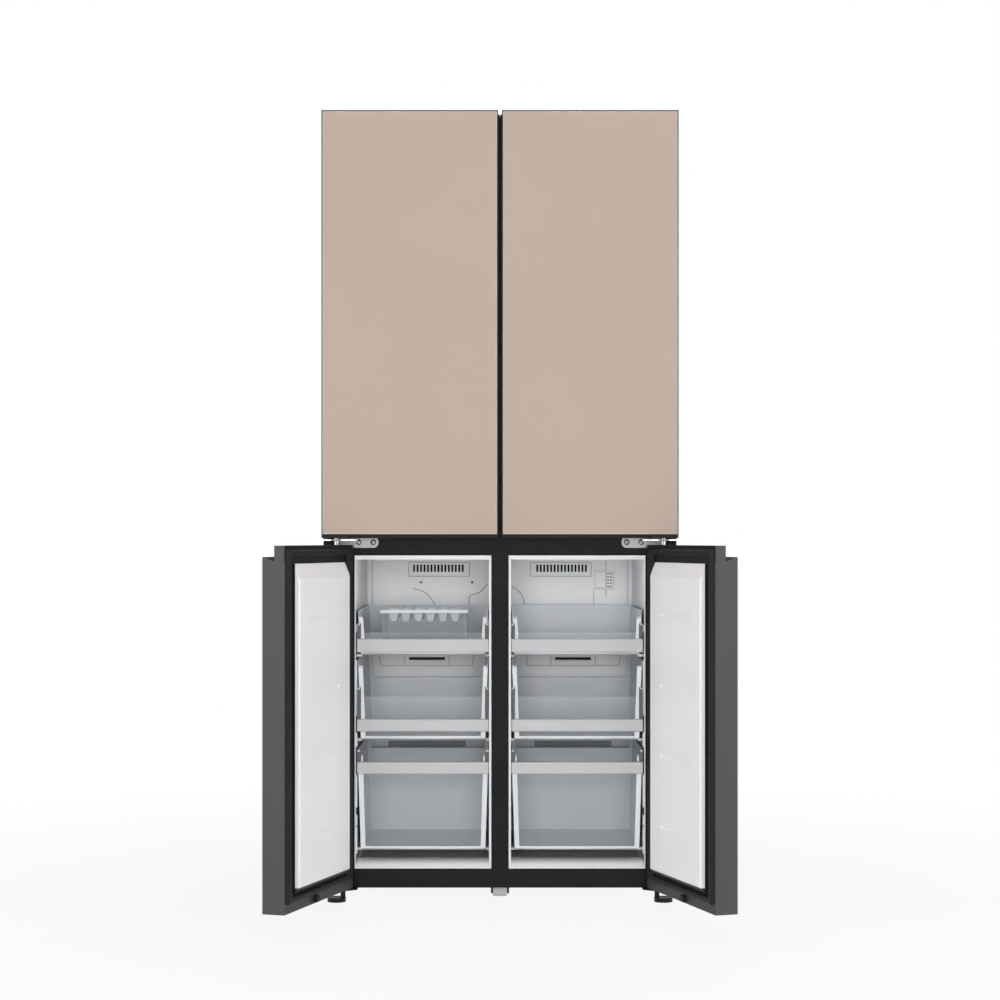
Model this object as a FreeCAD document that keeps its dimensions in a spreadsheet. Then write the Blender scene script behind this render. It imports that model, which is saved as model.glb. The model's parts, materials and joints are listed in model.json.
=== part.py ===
import FreeCAD, Part
import os
import re

import Sketcher

# Four-door refrigerator: two upper doors over two freezer doors that stand open.
# +Z is up, the doors face -Y, and the origin is on the floor under the middle of the object.

V = FreeCAD.Vector
doc = FreeCAD.newDocument("refrigerator")

# Driving sizes in millimetres and degrees. Heights are above the floor, and depths are measured
# back from the face that the name gives.
SIZES = {
    # Cabinet
    "case_width": 835, "case_depth": 669, "case_bottom": 36, "case_top": 1835,
    "case_corner": 5, "skin": 1, "front_plate": 1.5, "liner_wall": 2.5, "liner_corner": 14,
    "side_wall": 73.5, "centre_wall": 41, "back_bead": 3,
    "fridge_bottom": 905, "roof_wall": 50, "fridge_rear_wall": 69,
    "freezer_bottom": 81, "freezer_top": 822, "freezer_rear_wall": 79, "freezer_step": 310,
    "rim_depth": 6, "rim_top": 10, "rim_side": 2.5, "rim_centre": 5.5,
    "machine_deep": 215, "machine_wall": 54, "machine_top": 262,
    "cover_height": 25, "cover_depth": 110, "cover_wall": 2.5,
    # Doors
    "door_front": -192.8, "door_thick": 53, "seal_gap": 12, "seal_clear": 0.5, "door_gap": 9.3,
    "upper_bottom": 863, "upper_rise": 28, "deck_drop": 5, "deck_front": 6,
    "lower_bottom": 42, "lower_top": 847,
    "upper_drop": 7, "lower_drop": 25, "grip_front": 29, "grip_lip": 4, "grip_scoop": 10,
    "panel_thick": 4, "panel_margin": 2.2, "panel_edge": 1.6, "frame_edge": 4, "hinge_round": 16,
    "gasket_margin": 16, "gasket_width": 14, "gasket_slope": 3, "gasket_web": 1.2,
    "plateau_gap": 7.5, "plateau_free": 20, "plateau_rise": 21, "plateau_slope": 34, "plateau_round": 5,
    "groove_length": 175, "groove_height": 10, "groove_depth": 3, "groove_pitch": 161, "groove_first": 110,
    "dike_rise": 42, "dike_width": 18, "dike_floor": 4, "dike_free": 37.5,
    "stop_size": 14, "stop_rise": 9, "stop_lift": 4,
    # Hinges
    "hinge_inset": 34, "hinge_setback": 20, "hinge_block": 62, "block_setback": 8,
    "hinge_sheet": 3, "hinge_half": 12, "arm_half": 8, "arm_crank": 42,
    "hinge_gap": 0.6, "leaf_gap": 3, "leaf_outer": 4,
    "pin_radius": 5, "pin_depth": 32, "pin_end": 2, "pin_clear": 0.08, "open_angle": 108,
    "plate_reach": 96, "plate_height": 26.5, "plate_lift": 20,
    # Folding mullion on the left upper door
    "mullion_width": 59, "mullion_thick": 18, "mullion_heel": 7, "mullion_pin": 3,
    "mullion_back": 10, "mullion_inset": 28, "mullion_end": 20, "ear_thick": 9, "ear_gap": 0.4,
    # Freezer drawers
    "drawer_side": 5, "drawer_centre": 6.5, "drawer_setback": 30, "bin_wall": 2.5, "bin_flange": 12,
    "bin_round": 26,
    "bin_rear_gap": 44, "bin_low_gap": 18, "slide_clear": 0.4,
    "runner_reach": 14, "runner_thick": 6, "runner_setback": 45, "rail_thick": 16, "rail_round": 4,
    "rail_lean": 3.5, "bracket_width": 6.5,
    "upper_bin_bottom": 585, "upper_bin_top": 691, "upper_rail": 591.5, "upper_rail_height": 32,
    "upper_lip": 638, "upper_bracket": 22,
    "middle_bin_bottom": 383, "middle_bin_top": 575, "middle_rail": 403.5, "middle_rail_height": 29.5,
    "middle_lip": 486, "middle_bracket": 22, "middle_rear_drop": 70,
    "lower_bin_bottom": 121, "lower_bin_top": 362, "lower_rail": 303, "lower_rail_height": 28.5,
    "lower_lip": 326, "lower_bracket": 34, "lower_rear_drop": 32,
    # Ice box in the upper left drawer
    "ice_width": 205, "ice_depth": 220, "ice_setback": 78, "ice_height": 94, "ice_wall": 2,
    "ice_round": 10, "ice_rim": 8, "ice_rim_reach": 5, "mould_pitch": 29.8, "mould_count": 6,
    "mould_depth": 20, "mould_gap": 3, "mould_slope": 7, "mould_wall": 1.6, "mould_inset": 14,
    # Freezer back covers
    "fan_space": 98, "back_cover_thick": 5, "back_cover_gap": 0.4,
    "louvre_start": 119, "louvre_count": 15, "louvre_pitch": 9, "louvre_slot": 5,
    "louvre_bottom": 775, "louvre_height": 19, "louvre_border": 10, "louvre_rise": 4,
    "duct_start": 38, "duct_end": 52.5, "duct_bottom": 534, "duct_height": 54, "duct_rise": 18,
    "duct_taper": 8, "duct_block": 4, "duct_slot_start": 109, "duct_slot_width": 93,
    "duct_slot_height": 7, "duct_slot_bottom": 548, "duct_slot_border": 10,
    "return_start": 55, "return_end": 68.5, "return_bottom": 322, "return_height": 16,
    "sensor_start": 48, "sensor_width": 53, "sensor_bottom": 730, "sensor_height": 48, "sensor_rise": 9,
    # Fans
    "fan_radius": 44, "fan_hub": 15, "fan_depth": 18, "fan_blades": 7, "blade_thick": 2,
    "fan_shaft": 3, "fan_clear": 0.08, "fan_seat": 0.4, "fan_boss": 12, "fan_shift": 22, "fan_z": 690,
    "motor_radius": 20, "motor_length": 34,
    # Evaporators
    "coil_depth": 60, "coil_bottom": 340, "coil_height": 260, "coil_side": 26, "fin_thick": 1.2,
    "fin_count": 8, "coil_tube": 4,
    # Fresh-food space
    "shelf_count": 3, "shelf_lift": 32, "shelf_head": 10, "shelf_front": 150, "shelf_rear_gap": 40,
    "shelf_glass": 4, "shelf_border": 16, "shelf_thick": 14, "shelf_side": 1, "ledge_reach": 10,
    "ledge_height": 9, "crisper_height": 178, "crisper_gap": 6, "crisper_wall": 2.5,
    "crisper_round": 20, "tower_width": 130, "tower_thick": 26, "tower_end": 30,
    "tower_slot": 60, "tower_slot_height": 8, "tower_slots": 6,
    "bin_count": 3, "bin_lift": 60, "bin_head": 25, "door_bin_height": 88, "door_bin_depth": 95,
    # Machine room
    "pump_inset": 169, "pump_back": 106, "pump_radius": 78, "pump_height": 165, "pump_base": 14,
    "pump_foot": 88,
    "coil_inset": 19, "coil_length": 190, "coil_width": 120, "coil_tall": 140, "coil_fins": 9,
    "fan_distance": 75, "cooling_fan_radius": 62, "vent_count": 14, "vent_pitch": 40,
    "vent_width": 8, "vent_height": 90, "pan_thick": 1.5, "gland_inset": 40, "gland_radius": 9,
    # Floor contact
    "foot_inset": 29.5, "foot_back": 22, "foot_radius": 22, "foot_thick": 10, "foot_stem": 6,
    "foot_stem_shift": 15,
    "roller_radius": 16, "roller_width": 33, "roller_back": 101, "roller_axle": 4,
    "roller_plate": 5, "roller_plate_half": 18, "roller_lift": 9, "roller_side_gap": 0.5,
    "rear_roller_side": 24, "rear_roller_inset": 60, "roller_clear": 0.08,
}

# Places that follow from the driving sizes.
PLACES = {
    "half": "case_width / 2",
    "door_back": "door_front + door_thick",
    "case_front": "door_back + seal_gap",
    "case_back": "case_front + case_depth",
    "frame_back": "case_front + front_plate",
    "axis_x": "hinge_inset - half",
    "axis_y": "door_front + hinge_setback",
    "door_free": "-door_gap / 2",
    "wall_in": "half - side_wall",
    "bay_left": "side_wall - half",
    "bay_right": "-centre_wall / 2",
    "bay_middle": "(bay_left + bay_right) / 2",
    "pan_top": "case_bottom + pan_thick",
    "fridge_top": "case_top - roof_wall",
    "upper_top": "case_top + upper_rise",
    "fridge_depth": "case_depth - fridge_rear_wall",
    "freezer_depth": "case_depth - freezer_rear_wall",
    "machine_front": "case_depth - machine_deep",
    "freezer_low_depth": "case_depth - machine_deep - machine_wall",
    "bore_radius": "pin_radius + pin_clear",
    "bore_depth": "pin_depth + pin_end",
    "upper_deck": "upper_top - deck_drop",
    "arm_bottom": "upper_deck + hinge_gap",
    "arm_top": "arm_bottom + hinge_sheet",
    "leaf_top": "upper_bottom - leaf_gap",
    "leaf_bottom": "leaf_top - hinge_sheet",
    "sill_top": "lower_bottom - leaf_gap",
    "mullion_x": "-mullion_inset",
    "mullion_y": "door_back + seal_gap + mullion_back",
    "mullion_low": "fridge_bottom + mullion_end",
    "mullion_high": "fridge_top - mullion_end",
    "bin_left": "bay_left + drawer_side",
    "bin_right": "bay_right - drawer_centre",
    "bin_front": "case_front + drawer_setback",
    "bin_depth": "freezer_depth - fan_space - drawer_setback - bin_rear_gap",
    "bin_low_depth": "freezer_low_depth - drawer_setback - bin_low_gap",
    "ice_left": "(bin_left + bin_right - ice_width) / 2",
    "ice_right": "ice_left + ice_width",
    "ice_front": "bin_front + ice_setback",
    "ice_rear": "ice_front + ice_depth",
    "ice_bottom": "upper_bin_bottom + bin_wall",
    "ice_top": "ice_bottom + ice_height",
    "tray_top": "ice_top + ice_rim",
    "mould_left": "(ice_left + ice_right - mould_pitch * mould_count + mould_gap) / 2",
    "mould_right": "mould_left + mould_pitch - mould_gap",
    "mould_front": "ice_front + mould_inset",
    "mould_rear": "ice_rear - mould_inset",
    "cover_face": "case_front + freezer_depth - fan_space",
    "cover_rear": "cover_face + back_cover_thick",
    "freezer_back": "case_front + freezer_depth",
    "fridge_back": "case_front + fridge_depth",
    "louvre_left": "bay_left + louvre_start",
    "duct_left": "bay_left + duct_start",
    "duct_right": "bay_right - duct_end",
    "duct_slot_left": "bay_left + duct_slot_start",
    "fan_x": "bay_middle + fan_shift",
    "shelf_half": "wall_in - shelf_side",
    "shelf_back": "fridge_depth - shelf_rear_gap",
    "shelf_first": "fridge_bottom + crisper_height + shelf_lift",
    "shelf_pitch": "(fridge_top - shelf_first - shelf_head) / shelf_count",
    "bin_first": "fridge_bottom + bin_lift",
    "bin_pitch": "(fridge_top - bin_first - bin_head) / bin_count",
    "tower_pitch": "(fridge_top - fridge_bottom - tower_end * 2) / (tower_slots + 1)",
    "coil_x": "coil_inset - wall_in",
    "cooling_fan_x": "coil_x + coil_length + fan_distance",
    "rear_roller_x": "wall_in - rear_roller_side",
    "roller_half": "roller_width / 2",
    "room_back": "case_back - skin",
}

WORD = re.compile(r"[a-z_]+[a-z_0-9]*")
nodes = {}


def make_sheet():
    sheet = doc.addObject("Spreadsheet::Sheet", "Sizes")
    for row, (name, value) in enumerate(SIZES.items(), start=1):
        cell = "B%d" % row
        sheet.set("A%d" % row, name)
        sheet.set(cell, str(value))
        sheet.setAlias(cell, name)
    doc.recompute()
    return sheet


def bind(text):
    """Spell a formula of size and place names as an expression on the sheet."""
    def spell(found):
        name = found.group(0)
        if name in PLACES:
            return "(" + bind(PLACES[name]) + ")"
        if name in SIZES:
            return "Sizes." + name
        return name
    return WORD.sub(spell, str(text))


def number(text):
    return float(sizes.evalExpression(bind(text)))


def node(label, thing):
    thing.Label = label
    nodes[label] = thing
    return thing


def box(label, x_span, y_span, z_span):
    """A plain block between two places on each axis."""
    block = doc.addObject("Part::Box", label)
    for side, axis, (low, high) in zip(("Length", "Width", "Height"), "xyz", (x_span, y_span, z_span)):
        block.setExpression(side, bind("(%s) - (%s)" % (high, low)))
        block.setExpression("Placement.Base." + axis, bind(low))
    return block


def group(label, things):
    joined = doc.addObject("Part::Compound", label)
    joined.Links = things
    return joined


def mirror(label, thing):
    """The right-hand twin of a left-hand piece."""
    twin = doc.addObject("Part::Mirroring", label)
    twin.Source = thing
    twin.Normal = V(1, 0, 0)
    return twin


def pair(label, thing):
    return group(label, [thing, mirror(label + "_right", thing)])


def body(label):
    return doc.addObject("PartDesign::Body", label)


def origin_of(solid, role):
    return next(item for item in solid.Origin.OriginFeatures if item.Role == role)


# Sketch plane square to each axis, and the sign of its normal along that axis.
PLANES = {"x": ("YZ_Plane", 1), "y": ("XZ_Plane", -1), "z": ("XY_Plane", 1)}


def sketch(solid, axis, place):
    role, sign = PLANES[axis]
    drawing = solid.newObject("Sketcher::SketchObject", solid.Name + "_sketch")
    drawing.AttachmentSupport = [(origin_of(solid, role), "")]
    drawing.MapMode = "FlatFace"
    offset = "-(%s)" % place if sign < 0 else "%s" % place
    drawing.setExpression("AttachmentOffset.Base.z", bind(offset))
    return drawing


def fix_point(drawing, geometry, point, place):
    for kind, text in zip(("DistanceX", "DistanceY"), place):
        index = drawing.addConstraint(Sketcher.Constraint(kind, -1, 1, geometry, point, number(text)))
        drawing.setExpression("Constraints[%d]" % index, bind(text))


def outline(drawing, corners):
    """A closed run of straight lines through the corners."""
    spots = [V(number(a), number(b), 0) for a, b in corners]
    first = drawing.GeometryCount
    count = len(corners)
    for index in range(count):
        drawing.addGeometry(Part.LineSegment(spots[index], spots[(index + 1) % count]), False)
    for index in range(count):
        following = first + (index + 1) % count
        drawing.addConstraint(Sketcher.Constraint("Coincident", first + index, 2, following, 1))
    for index in range(count):
        fix_point(drawing, first + index, 1, corners[index])


def rect(low_a, low_b, high_a, high_b):
    return [(low_a, low_b), (high_a, low_b), (high_a, high_b), (low_a, high_b)]


def round_outline(drawing, middle_a, middle_b, radius):
    spot = V(number(middle_a), number(middle_b), 0)
    index = drawing.addGeometry(Part.Circle(spot, V(0, 0, 1), number(radius)), False)
    fix_point(drawing, index, 3, (middle_a, middle_b))
    size = drawing.addConstraint(Sketcher.Constraint("Radius", index, number(radius)))
    drawing.setExpression("Constraints[%d]" % size, bind(radius))


def draw(drawing, shapes):
    for shape in shapes:
        if len(shape) == 3 and not isinstance(shape[0], tuple):
            round_outline(drawing, *shape)
        else:
            outline(drawing, shape)


def pad(solid, axis, low, high, *shapes):
    """Add material between two places along an axis."""
    drawing = sketch(solid, axis, high if PLANES[axis][1] < 0 else low)
    draw(drawing, shapes)
    feature = solid.newObject("PartDesign::Pad", solid.Name + "_pad")
    feature.Profile = drawing
    feature.setExpression("Length", bind("(%s) - (%s)" % (high, low)))
    solid.Tip = feature
    return feature


def cut(solid, axis, low, high, *shapes):
    """Take material away between two places along an axis."""
    drawing = sketch(solid, axis, low if PLANES[axis][1] < 0 else high)
    draw(drawing, shapes)
    doc.recompute()
    before = solid.Shape.Volume
    feature = solid.newObject("PartDesign::Pocket", solid.Name + "_pocket")
    feature.Profile = drawing
    feature.setExpression("Length", bind("(%s) - (%s)" % (high, low)))
    solid.Tip = feature
    doc.recompute()
    if solid.Shape.Volume >= before:
        raise RuntimeError("a cut took nothing away from " + solid.Name)
    return feature


def near(value, place):
    return abs(value - number(place)) < 0.01


def round_edges(solid, radius, chosen, kind="Fillet"):
    """Round or slope the straight edges that the test picks by direction and middle point."""
    doc.recompute()
    base = solid.Tip
    names = []
    for index, edge in enumerate(base.Shape.Edges, start=1):
        if edge.Curve.TypeId != "Part::GeomLine":
            continue
        along = edge.tangentAt(edge.FirstParameter)
        middle = edge.valueAt((edge.FirstParameter + edge.LastParameter) / 2)
        axis = "x" if abs(along.x) > 0.99 else "y" if abs(along.y) > 0.99 else "z"
        if chosen(axis, middle):
            names.append("Edge%d" % index)
    feature = solid.newObject("PartDesign::" + kind, solid.Name + "_edges")
    feature.Base = (base, names)
    feature.setExpression("Radius" if kind == "Fillet" else "Size", bind(radius))
    solid.Tip = feature
    doc.recompute()
    return feature


def repeat(solid, feature, axis, pitch, count):
    """Repeat a feature in a row along an axis."""
    row = solid.newObject("PartDesign::LinearPattern", solid.Name + "_row")
    row.Originals = [feature]
    row.Direction = (origin_of(solid, axis.upper() + "_Axis"), [""])
    row.setExpression("Length", bind("(%s) * ((%s) - 1)" % (pitch, count)))
    row.setExpression("Occurrences", bind(count))
    solid.Tip = row
    doc.recompute()
    return row


sizes = make_sheet()


# Cabinet

def outer_case():
    """Folded steel wrapper: two sides and the top in one sheet."""
    case = body("outer_case")
    profile = [
        ("-half", "case_bottom"), ("-half", "case_top"), ("half", "case_top"), ("half", "case_bottom"),
        ("half - skin", "case_bottom"), ("half - skin", "case_top - skin"),
        ("skin - half", "case_top - skin"), ("skin - half", "case_bottom"),
    ]
    pad(case, "y", "frame_back", "room_back", profile)
    round_edges(case, "case_corner - skin", lambda axis, at: axis == "y" and near(at.z, "case_top - skin"))
    round_edges(case, "case_corner", lambda axis, at: axis == "y" and near(at.z, "case_top"))
    node("outer_case", case)


def back_panel():
    """Rear sheet with upright stiffening beads."""
    panel = body("back_panel")
    pad(panel, "y", "room_back", "case_back", rect("-half", "machine_top", "half", "case_top - case_corner"))
    bead = pad(panel, "y", "room_back", "case_back + back_bead",
               rect("-half * 0.6 - 20", "machine_top + 90", "-half * 0.6 + 20", "case_top - 90"))
    repeat(panel, bead, "x", "half * 0.6", "3")
    round_edges(panel, "back_bead * 0.9",
                lambda axis, at: axis != "y" and near(at.y, "case_back + back_bead"))
    node("back_panel", panel)


def wall_insulation():
    """Foam slabs between the case and the liners."""
    inner = "wall_in + liner_wall"
    full = ("frame_back", "room_back")
    side = ("skin - half", "-(%s)" % inner)
    across = ("-(%s)" % inner, inner)
    freezer_roof = "freezer_top + liner_wall"
    fridge_floor = "fridge_bottom - liner_wall"
    left = box("foam_left", side, full, ("pan_top", "case_top - case_corner"))
    slabs = [
        left,
        mirror("foam_right", left),
        box("foam_top", across, full, ("fridge_top + liner_wall", "case_top - skin")),
        box("foam_fridge_back", across, ("fridge_back + liner_wall", "room_back"),
            (fridge_floor, "fridge_top + liner_wall")),
        box("foam_divider", across, full, (freezer_roof, fridge_floor)),
        box("foam_centre", ("liner_wall - centre_wall / 2", "centre_wall / 2 - liner_wall"),
            ("frame_back", "freezer_back"), ("freezer_step", freezer_roof)),
        box("foam_centre_low", ("liner_wall - centre_wall / 2", "centre_wall / 2 - liner_wall"),
            ("frame_back", "case_front + freezer_low_depth"), ("freezer_bottom", "freezer_step")),
        box("foam_freezer_back", across, ("freezer_back + liner_wall", "room_back"),
            ("machine_top", freezer_roof)),
        box("foam_step", across, ("case_front + freezer_low_depth + liner_wall", "freezer_back + liner_wall"),
            ("machine_top", "freezer_step - liner_wall")),
        box("foam_bulkhead", across,
            ("case_front + freezer_low_depth + liner_wall", "case_front + machine_front"),
            ("pan_top", "machine_top")),
        box("foam_floor", across, ("frame_back", "case_front + freezer_low_depth + liner_wall"),
            ("pan_top", "freezer_bottom - liner_wall")),
    ]
    node("wall_insulation", group("wall_insulation", slabs))


def fridge_liner():
    """Moulded fresh-food tub with shelf ledges on its side walls."""
    liner = body("fridge_liner")
    outer = "wall_in + liner_wall"
    pad(liner, "y", "frame_back", "fridge_back + liner_wall",
        rect("-(%s)" % outer, "fridge_bottom - liner_wall", outer, "fridge_top + liner_wall"))
    cut(liner, "y", "frame_back", "fridge_back", rect("-wall_in", "fridge_bottom", "wall_in", "fridge_top"))
    round_edges(liner, "liner_corner", lambda axis, at: axis == "y" and abs(at.x) < number("wall_in + 0.1"))
    ledge_top = "shelf_first - slide_clear"
    ledges = pad(liner, "y", "case_front + shelf_front", "case_front + shelf_back",
                 rect("-wall_in - liner_wall / 2", ledge_top + " - ledge_height",
                      "ledge_reach - wall_in", ledge_top),
                 rect("wall_in - ledge_reach", ledge_top + " - ledge_height",
                      "wall_in + liner_wall / 2", ledge_top))
    repeat(liner, ledges, "z", "shelf_pitch", "shelf_count")
    node("fridge_liner", liner)


# The three drawers of a freezer: their bin, rail and lip heights.
DRAWERS = ("upper", "middle", "lower")


def freezer_liner():
    """Moulded freezer tub, stepped over the machine room, with a pair of runners for each drawer."""
    liner = body("freezer_liner")
    low_back = "case_front + freezer_low_depth"
    outside = [
        ("frame_back", "freezer_bottom - liner_wall"),
        (low_back + " + liner_wall", "freezer_bottom - liner_wall"),
        (low_back + " + liner_wall", "freezer_step - liner_wall"),
        ("freezer_back + liner_wall", "freezer_step - liner_wall"),
        ("freezer_back + liner_wall", "freezer_top + liner_wall"), ("frame_back", "freezer_top + liner_wall"),
    ]
    inside = [
        ("frame_back", "freezer_bottom"), (low_back, "freezer_bottom"), (low_back, "freezer_step"),
        ("freezer_back", "freezer_step"), ("freezer_back", "freezer_top"), ("frame_back", "freezer_top"),
    ]
    pad(liner, "x", "bay_left - liner_wall", "bay_right + liner_wall", outside)
    cut(liner, "x", "bay_left", "bay_right", inside)
    round_edges(liner, "liner_corner", lambda axis, at: axis == "y"
                and number("bay_left - 0.1") < at.x < number("bay_right + 0.1")
                and (near(at.z, "freezer_bottom") or near(at.z, "freezer_top")))
    pad(liner, "y", "frame_back", "frame_back + rim_depth",
        rect("bay_left - liner_wall / 2", "freezer_bottom - liner_wall / 2", "bay_right + liner_wall / 2",
             "freezer_top + liner_wall / 2"),
        rect("bay_left + rim_side", "freezer_bottom", "bay_right - rim_centre", "freezer_top - rim_top"))
    for drawer in DRAWERS:
        top = "%s_bin_bottom - slide_clear" % drawer
        depth = "bin_low_depth" if drawer == "lower" else "bin_depth"
        pad(liner, "y", "bin_front + runner_setback", "bin_front + %s" % depth,
            rect("bay_left - liner_wall / 2", top + " - runner_thick", "bay_left + runner_reach", top),
            rect("bay_right - runner_reach", top + " - runner_thick", "bay_right + liner_wall / 2", top))
    node("freezer_liners", pair("freezer_liners", liner))


def front_frame():
    """Flat plate on the case front, with one wide and two narrow windows."""
    frame = body("front_frame")
    pad(frame, "y", "case_front", "frame_back",
        rect("-half", "case_bottom", "half", "case_top"),
        rect("-wall_in", "fridge_bottom", "wall_in", "fridge_top"),
        rect("bay_left", "freezer_bottom", "bay_right", "freezer_top"),
        rect("-(bay_right)", "freezer_bottom", "-(bay_left)", "freezer_top"))
    node("front_frame", frame)


def base_pan():
    """Floor sheet with air slots under the machine room."""
    pan = body("base_pan")
    pad(pan, "z", "case_bottom", "pan_top", rect("skin - half", "frame_back", "half - skin", "room_back"))
    slot_front = "case_front + machine_front + 30"
    slot = cut(pan, "z", "case_bottom", "pan_top",
               rect("-vent_pitch * 6 - vent_width / 2", slot_front, "-vent_pitch * 6 + vent_width / 2",
                    slot_front + " + vent_height"))
    repeat(pan, slot, "x", "vent_pitch", "5")
    node("base_pan", pan)


def machine_cover():
    """Rear cover of the machine room with a row of upright air slots."""
    cover = body("machine_cover")
    pad(cover, "y", "room_back", "case_back",
        rect("skin - half", "pan_top", "half - skin", "machine_top"))
    first = "-vent_pitch * (vent_count - 1) / 2"
    slot_low = "(pan_top + machine_top - vent_height) / 2"
    slot = cut(cover, "y", "room_back", "case_back",
               rect(first + " - vent_width / 2", slot_low, first + " + vent_width / 2",
                    slot_low + " + vent_height"))
    repeat(cover, slot, "x", "vent_pitch", "vent_count")
    pad(cover, "y", "room_back", "case_back + back_bead", ("wall_in - gland_inset", slot_low, "gland_radius"))
    node("machine_cover", cover)


def top_cover():
    """Low cap along the front of the roof that hides the top hinges."""
    cap = body("top_cover")
    roof = "case_top + cover_height"
    rear = "case_front + cover_depth"
    pad(cap, "z", "case_top", roof, rect("-half", "frame_back", "half", rear))
    round_edges(cap, "cover_wall * 2", lambda axis, at: near(at.z, roof) and not near(at.y, "frame_back"))
    cut(cap, "z", "case_top", roof + " - cover_wall",
        rect("cover_wall - half", "frame_back + cover_wall", "half - cover_wall", rear + " - cover_wall"))
    near_side = "axis_x - arm_half - 1"
    far_side = "axis_x + arm_crank + arm_half + 1"
    for low, high in ((near_side, far_side), ("-(%s)" % far_side, "-(%s)" % near_side)):
        cut(cap, "z", "case_top", roof, rect(low, "frame_back", high, "case_front + cover_depth / 3"))
    node("top_cover", cap)


# Hinges

def top_hinge():
    """Cranked bracket on the roof whose arm carries a pin down into the upper door."""
    hinge = body("top_hinge")
    riser = "case_front + cover_depth / 3 - 8"
    left = "axis_x + arm_crank - arm_half"
    right = "axis_x + arm_crank + arm_half"
    pad(hinge, "z", "case_top", "case_top + hinge_sheet",
        rect(left, riser + " - hinge_sheet", right + " + arm_half", riser + " + 45"))
    pad(hinge, "z", "case_top", "arm_top", rect(left, riser + " - hinge_sheet", right, riser))
    pad(hinge, "z", "arm_bottom", "arm_top", [
        ("axis_x - arm_half", "axis_y"), ("axis_x + arm_half", "axis_y"), (right, riser), (left, riser),
    ])
    pad(hinge, "z", "arm_bottom", "arm_top", ("axis_x", "axis_y", "arm_half"))
    pad(hinge, "z", "upper_deck - pin_depth", "arm_top", ("axis_x", "axis_y", "pin_radius"))
    node("top_hinges", pair("top_hinges", hinge))


def leaf(hinge, low, high, inner):
    """Flat tongue that runs forward from the case to the hinge line."""
    nose = "axis_y - hinge_half"
    pad(hinge, "z", low, high, [
        ("leaf_outer - half", "case_front"), ("leaf_outer - half", "axis_y"),
        ("axis_x - hinge_half", nose), ("axis_x + hinge_half", nose), (inner, "axis_y + hinge_half"),
        (inner, "case_front"),
    ])


def middle_hinge():
    """Plate on the case front with a tongue and pins up and down."""
    hinge = body("middle_hinge")
    inner = "leaf_outer - half + plate_reach + 30"
    low = "leaf_top - plate_lift"
    pad(hinge, "y", "case_front - hinge_sheet", "case_front",
        rect("axis_x", low, inner, low + " + plate_height"))
    round_edges(hinge, "plate_height * 0.45", lambda axis, at: axis == "y" and near(at.x, inner))
    leaf(hinge, "leaf_bottom", "leaf_top", "axis_x + plate_reach / 2")
    pad(hinge, "z", "lower_top - pin_depth", "upper_bottom + pin_depth", ("axis_x", "axis_y", "pin_radius"))
    node("middle_hinges", pair("middle_hinges", hinge))


def bottom_hinge():
    """Plate at the foot of the case front with a tongue and a pin up."""
    hinge = body("bottom_hinge")
    pad(hinge, "y", "case_front - hinge_sheet", "case_front",
        rect("leaf_outer - half", "sill_top - hinge_sheet", "axis_x + plate_reach / 2",
             "sill_top + plate_height * 0.8"))
    leaf(hinge, "sill_top - hinge_sheet", "sill_top", "axis_x + plate_reach / 2")
    pad(hinge, "z", "sill_top - hinge_sheet", "lower_bottom + pin_depth", ("axis_x", "axis_y", "pin_radius"))
    node("bottom_hinges", pair("bottom_hinges", hinge))


# Doors

def front_bottom(level):
    return "upper_bottom + upper_drop" if level == "upper" else "lower_bottom"


def front_top(level):
    return "upper_top" if level == "upper" else "lower_top - lower_drop"


def door_frame(level):
    """Moulded door core with a stepped finger grip along its free horizontal edge."""
    frame = body("left_%s_frame" % level)
    low = "%s_bottom" % level
    high = "%s_top" % level
    front = "door_front"
    step = "door_front + grip_front"
    lip = "door_front + grip_lip"
    if level == "upper":
        edge = front_bottom(level)
        profile = [
            (front, high), (front, edge), (lip, edge), (step, edge + " + grip_scoop"), (step, low),
            ("door_back", low), ("door_back", "upper_deck"), ("door_front + deck_front", "upper_deck"),
            ("door_front + deck_front", high),
        ]
        deck = "upper_deck"
        block = (low, edge + " + grip_scoop")
    else:
        edge = front_top(level)
        profile = [
            (front, low), ("door_back", low), ("door_back", high), (step, high),
            (step, edge + " - grip_scoop"), (lip, edge), (front, edge),
        ]
        deck = high
        block = (edge + " - grip_scoop", high)
    pad(frame, "x", "-half", "door_free", profile)
    round_edges(frame, "hinge_round",
                lambda axis, at: axis == "z" and near(at.y, "door_back") and near(at.x, "-half"))
    round_edges(frame, "frame_edge",
                lambda axis, at: axis == "z" and near(at.y, "door_back") and near(at.x, "door_free"))
    round_edges(frame, "panel_margin * 0.8", lambda axis, at: axis == "z" and near(at.y, front))
    pad(frame, "z", block[0], block[1],
        rect("-half", "door_front + block_setback", "hinge_block - half", step))
    cut(frame, "y", front, "door_front + panel_thick",
        rect("panel_margin - half", front_bottom(level) + " + panel_margin",
             "door_free - panel_margin", front_top(level) + " - panel_margin"))
    if level == "lower":
        pad(frame, "y", "door_back - 1", "door_back + stop_rise",
            rect("bay_middle", low + " + stop_lift", "bay_middle + stop_size",
                 low + " + stop_lift + stop_size"))
    cut(frame, "z", low, low + " + bore_depth", ("axis_x", "axis_y", "bore_radius"))
    cut(frame, "z", deck + " - (bore_depth)", deck, ("axis_x", "axis_y", "bore_radius"))
    return frame


def door_panel(level):
    """Glass front set into the door frame."""
    panel = body("left_%s_panel" % level)
    pad(panel, "y", "door_front", "door_front + panel_thick",
        rect("panel_margin - half", front_bottom(level) + " + panel_margin",
             "door_free - panel_margin", front_top(level) + " - panel_margin"))
    round_edges(panel, "panel_edge", lambda axis, at: axis != "y" and near(at.y, "door_front"), "Chamfer")
    return panel


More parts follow.
